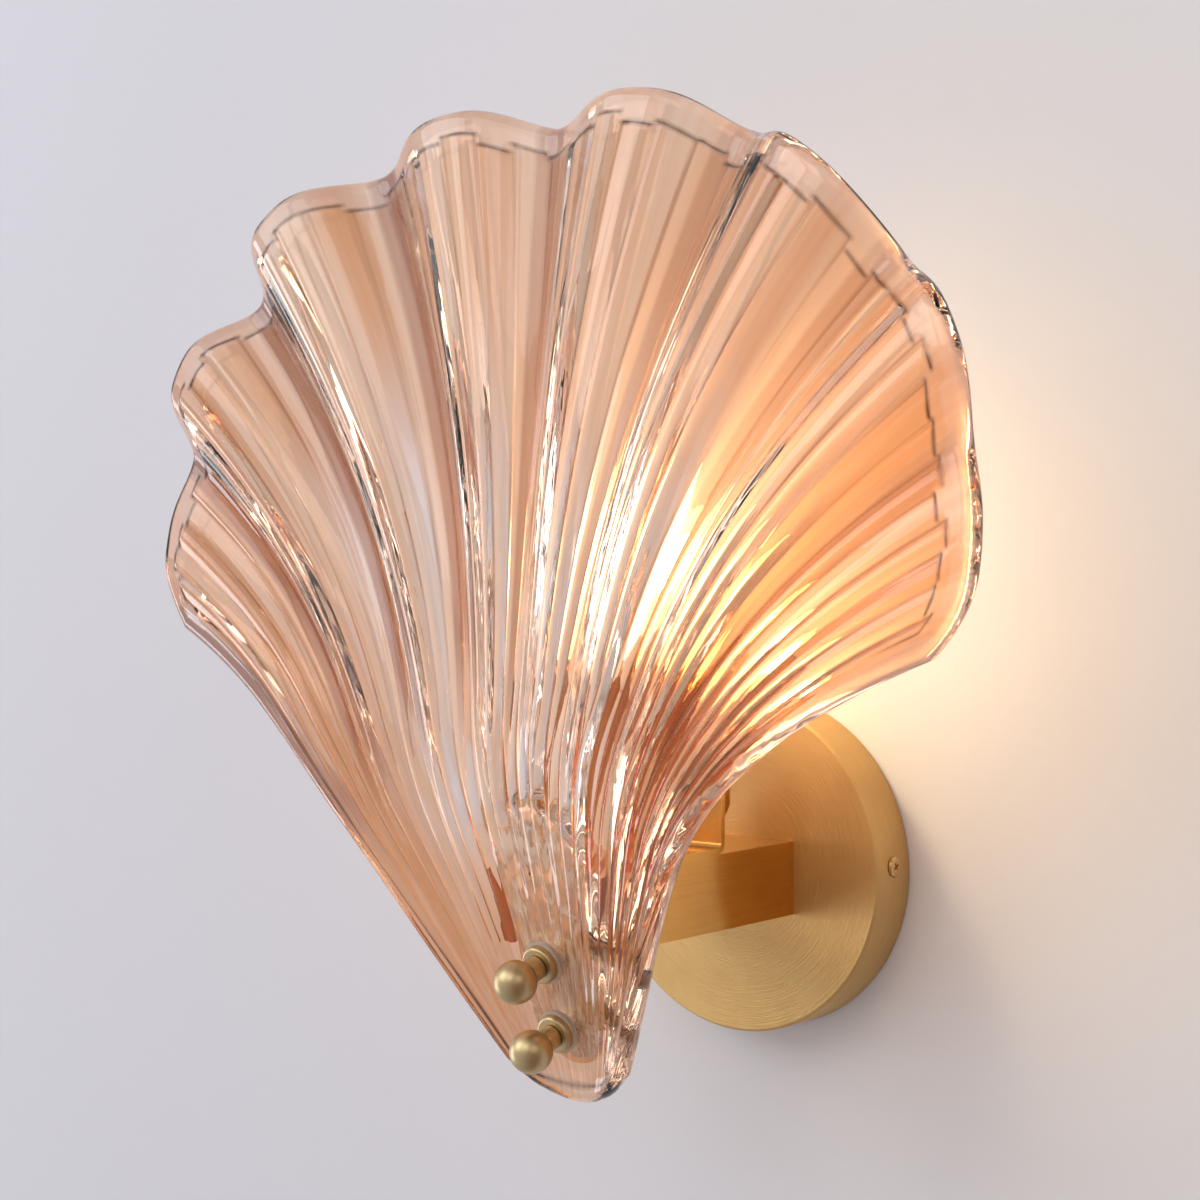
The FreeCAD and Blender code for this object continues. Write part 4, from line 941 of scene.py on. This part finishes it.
    def drill(self, glass: Object) -> None:
        """Cut the two stud holes."""
        lean = math.radians(self.lean)
        out = Vector((0, -math.cos(lean), -math.sin(lean)))
        up = Vector((0, -math.sin(lean), math.cos(lean)))
        seat = Vector((0, -self.seat_out, -self.seat_drop)) - out * self.drill_depth
        for place in (0.0, -self.stud_spacing):
            centre = (seat + up * place) * MM
            Bench.clear_selection()
            bpy.ops.mesh.primitive_cylinder_add(vertices=48, radius=self.hole_radius * MM,
                                                depth=self.drill_length * MM)
            drill = bpy.context.object
            drill.matrix_world = aim(centre, out)
            Bench.take(drill)
            Bench.fix_place()
            Bench.add_modifier(glass, "BOOLEAN", operation="DIFFERENCE", object=drill, solver="EXACT")
            bpy.data.objects.remove(drill, do_unlink=True)


# ---- screws -----------------------------------------------------------------------------------
@dataclass
class CrossScrew:
    """A domed screw head with a cross recess, and its shank, in millimetres."""

    head_radius: float
    head_height: float
    shank_radius: float
    shank_length: float
    dome: float = 0.55
    blade_width: float = 0.34
    blade_length: float = 1.15
    blade_height: float = 1.1
    blade_rise: float = 1.05
    blade_turn: float = 0.5
    blade_taper: float = 0.55

    def model(self) -> Object:
        """Model one screw: the head's underside at the origin, the head up along +Z."""
        Bench.clear_selection()
        bpy.ops.mesh.primitive_cylinder_add(vertices=40, radius=self.head_radius * MM,
                                            depth=self.head_height * MM,
                                            location=(0, 0, self.head_height * MM / 2))
        head = bpy.context.object
        Bench.fix_place()
        Bench.select_faces(head, lambda face: face.normal.z > 0.9)
        bpy.ops.mesh.bevel(offset=self.head_height * self.dome * MM, segments=5, profile=0.5, affect="EDGES")
        Bench.select_faces(head, lambda face: face.normal.z < -0.9)
        bpy.ops.mesh.inset(thickness=(self.head_radius - self.shank_radius) * MM)
        bpy.ops.mesh.extrude_region_move(TRANSFORM_OT_translate={"value": (0, 0, -self.shank_length * MM)})
        bpy.ops.object.mode_set(mode="OBJECT")
        self.cut_cross(head)
        return head

    def cut_cross(self, head: Object) -> None:
        """Cut the tapered cross recess."""
        for turn in (0.0, math.pi / 2):
            Bench.clear_selection()
            bpy.ops.mesh.primitive_cube_add(size=1.0)
            blade = bpy.context.object
            blade.scale = (self.head_radius * self.blade_length * MM,
                           self.head_radius * self.blade_width * MM,
                           self.head_height * self.blade_height * MM)
            blade.location = (0, 0, self.head_height * MM * self.blade_rise)
            blade.rotation_euler = (0, 0, turn + self.blade_turn)
            Bench.fix_place()
            Bench.select_faces(blade, lambda face: face.normal.z < -0.9)
            bpy.ops.transform.resize(value=(self.blade_taper, self.blade_taper, 1.0),
                                     center_override=(0, 0, 0))
            bpy.ops.object.mode_set(mode="OBJECT")
            Bench.add_modifier(head, "BOOLEAN", operation="DIFFERENCE", object=blade, solver="EXACT")
            bpy.data.objects.remove(blade, do_unlink=True)

    def place(self, name: str, node: str, spots: Iterable[tuple[Sequence[float], Sequence[float]]],
              finish: Material, slot: str) -> Object:
        """Put a copy at each spot.

        Args:
            name: the joined piece's name.
            node: the CAD node it stands for.
            spots: (place in millimetres, way the head points) pairs.
            finish: its material.
            slot: its material slot in the record; not used.

        Returns:
            The joined piece.
        """
        screw = self.model()
        copies = [Bench.copy_of(screw, aim(Vector(place) * MM, way)) for place, way in spots]
        bpy.data.objects.remove(screw, do_unlink=True)
        for copy in copies:
            Bench.take(copy)
            Bench.fix_place()
        group = Bench.settle(Bench.join(copies), name)
        group.data.materials.clear()
        group.data.materials.append(finish)
        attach(group, "sconce")
        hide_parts(node)
        return group


@dataclass
class Fixings:
    """The screws that show from some side."""

    side_height: float = 3.5
    side_out: float = 10.0
    side_seat: float = 59.54
    arm_top: float = 10.5
    screen_y: float = -80.5
    screen_spacing: float = 32.0
    screen_wall: float = 2.0
    arm_screw_y: float = -17.7
    arm_screw_spacing: float = 30.0
    arm_drop: float = 2.5

    def build(self, bright: Material, zinc: Material) -> None:
        """Model and place the screws."""
        side = CrossScrew(3.5, 1.6, 2.0, 10.0)
        side.place("side_screws_dressed", "side_screws",
                   [((s * self.side_seat, -self.side_out, self.side_height), (s, 0, 0)) for s in (-1, 1)],
                   bright, "polished_brass")
        top = self.arm_top + self.screen_wall
        screen = CrossScrew(2.8, 1.8, 1.5, 5.5)
        screen.place("screen_screws_dressed", "screen_screws",
                     [((s * self.screen_spacing / 2, self.screen_y, top), (0, 0, 1)) for s in (-1, 1)],
                     bright, "polished_brass")
        arm = CrossScrew(3.75, 2.6, 2.0, 9.0)
        arm.place("arm_screws_dressed", "arm_screws",
                  [((s * self.arm_screw_spacing / 2, self.arm_screw_y, -self.arm_drop), (0, 1, 0))
                   for s in (-1, 1)], zinc, "zinc_steel")


# ---- what keeps its solid's shape -------------------------------------------------------------
DRESSED = (
    (FACE_BRASS, ("backplate",)),
    (ARM_BRASS, ("arm", "lamp_screen", "shade_strip", "holder_dome", "holder_skirt")),
    (BALL_BRASS, ("upper_ball_nut", "lower_ball_nut", "collars")),
    (SCREW_BRASS, ("shade_studs", "strip_screws")),
    (ZINC, ("wall_strap", "arm_washers", "earth_screw", "earth_tag", "holder_nipple", "nipple_nut",
            "terminal_screws", "contact_tongue", "lamp_tip")),
    (SILICONE, ("front_gaskets", "stud_sleeves")),
    (PAD_SILICONE, ("pad_gasket",)),
    (NYLON, ("cable_bush", "terminal_block", "holder_insert")),
    (LIVE, ("live_lead",)),
    (NEUTRAL, ("neutral_lead",)),
    (EARTH, ("earth_lead",)),
    (BULB, ("lamp_glass", "filament_stem")),
    (FILAMENT, ("filaments",)),
    (CAP_NICKEL, ("lamp_cap",)),
    (SLEEVE_BRASS, ("screw_sleeve",)))


def dress_all() -> dict[Finish, Material]:
    """Dress every node of the table and return the materials."""
    made = {}
    for finish, nodes in DRESSED:
        made[finish] = finish.make()
        for node in nodes:
            Bench.dress(node, made[finish])
            LOG.info("dressed %s", node)
    return made


@dataclass
class CandleLight:
    """The light that the lit lamp gives."""

    place: Triple = (0.0, -46.0, 108.0)
    watts: float = 0.2
    colour: Colour = (1.0, 0.77, 0.48)
    radius: float = 12.0

    def build(self) -> None:
        """Hang the light in the bulb."""
        light = bpy.data.lights.new("lamp_light", "POINT")
        light.energy = self.watts
        light.color = self.colour
        light.shadow_soft_size = self.radius * MM
        Bench.hang("lamp_light", light, Matrix.Translation(Vector(self.place) * MM))
        LOG.info("lit the lamp")


# ---- studio -----------------------------------------------------------------------------------
@dataclass(frozen=True)
class SoftLamp:
    """A rectangular lamp that faces the light's middle."""

    name: str
    place: Triple
    size: Pair
    watts: float
    colour: Triple
    target: Triple = (0.0, 0.0, 0.08)

    def hang(self) -> None:
        """Add the lamp to the scene."""
        lamp = bpy.data.lights.new(self.name, "AREA")
        lamp.shape = "RECTANGLE"
        lamp.energy = self.watts
        lamp.size, lamp.size_y = self.size
        lamp.color = self.colour
        away = Vector(self.place) - Vector(self.target)
        turn = away.to_track_quat("Z", "Y").to_matrix().to_4x4()
        Bench.hang(self.name, lamp, Matrix.Translation(Vector(self.place)) @ turn)


SOFT_LAMPS = (
    SoftLamp("left_soft", (-1.3, -1.5, 1.0), (1.2, 1.2), 12.8, (0.91, 0.95, 1.0)),
    SoftLamp("right_soft", (1.5, -1.1, 0.9), (1.1, 1.1), 3.8, (1.0, 0.98, 0.96)),
    SoftLamp("front_soft", (0.1, -2.4, 1.6), (1.5, 1.5), 12.3, (0.97, 0.98, 1.0)),
    SoftLamp("side_panel", (-2.0, -0.6, -0.4), (0.5, 1.3), 9.0, (0.92, 0.94, 1.0)))


@dataclass
class Studio:
    """Wall, surround, soft lamps and the camera at the photograph's place."""

    place: Triple = (0.5022, -0.7194, 0.1214)
    forward: Triple = (-0.6283, 0.7774, -0.0306)
    right: Triple = (0.7777, 0.6286, 0.0007)
    lens: float = 72.0
    wall_size: float = 6.0
    wall_middle: Triple = (0.0, 0.0006, 0.4)
    bright_way: Triple = (-0.85, -0.45, 0.1)
    dark_surround: Colour = (0.26, 0.17, 0.13)
    bright_surround: Colour = (0.56, 0.57, 0.61)
    backdrop: Colour = (0.8, 0.8, 0.81)

    def build(self) -> None:
        """Set up the shot."""
        self.wall()
        self.camera()
        for lamp in SOFT_LAMPS:
            lamp.hang()
        scene = bpy.context.scene
        scene.view_settings.view_transform = "Standard"
        self.world(scene)

    def wall(self) -> None:
        """A plain painted wall behind the light."""
        Bench.clear_selection()
        bpy.ops.mesh.primitive_plane_add(size=self.wall_size, location=self.wall_middle,
                                         rotation=(math.pi / 2, 0, 0))
        wall = bpy.context.object
        Bench.fix_place()
        wall.name = "wall"
        wall.data.materials.append(WALL_PAINT.make())

    def camera(self) -> None:
        """The camera, from its fitted place and axes."""
        forward = Vector(self.forward).normalized()
        right = Vector(self.right).normalized()
        lens = bpy.data.cameras.new("camera")
        lens.sensor_width = 36.0
        lens.sensor_fit = "HORIZONTAL"
        lens.lens = self.lens
        lens.clip_start = 0.01
        axes = Matrix((right, right.cross(forward), -forward)).transposed().to_4x4()
        camera = Bench.hang("camera", lens, Matrix.Translation(Vector(self.place)) @ axes)
        bpy.context.scene.camera = camera

    def world(self, scene: Scene) -> None:
        """A surround that is brighter from the left and dark behind the camera, which sees it pale."""
        surround = Surround("surround")
        bright = surround.toward(self.bright_way).between(-0.35, 0.75)
        colour = surround.mix(bright, self.dark_surround, self.bright_surround)
        colour = surround.mix(surround.ray("Is Camera Ray"), colour, self.backdrop)
        background = surround.node("Background", {}, {"Color": colour, "Strength": 1.0})
        surround.feed(surround.output.inputs["Surface"], background.outputs[0])
        scene.world = surround.world


def main() -> None:
    """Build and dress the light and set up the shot."""
    logging.basicConfig(level=logging.INFO, format="%(message)s")
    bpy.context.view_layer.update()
    made = dress_all()
    CandleLight().build()
    Fixings().build(made[SCREW_BRASS], made[ZINC])
    LOG.info("modelled the screws")
    shell = GlassShell().build()
    LOG.info("modelled the shell, %d faces", len(shell.data.polygons))
    Studio().build()


if __name__ == "__main__":
    main()
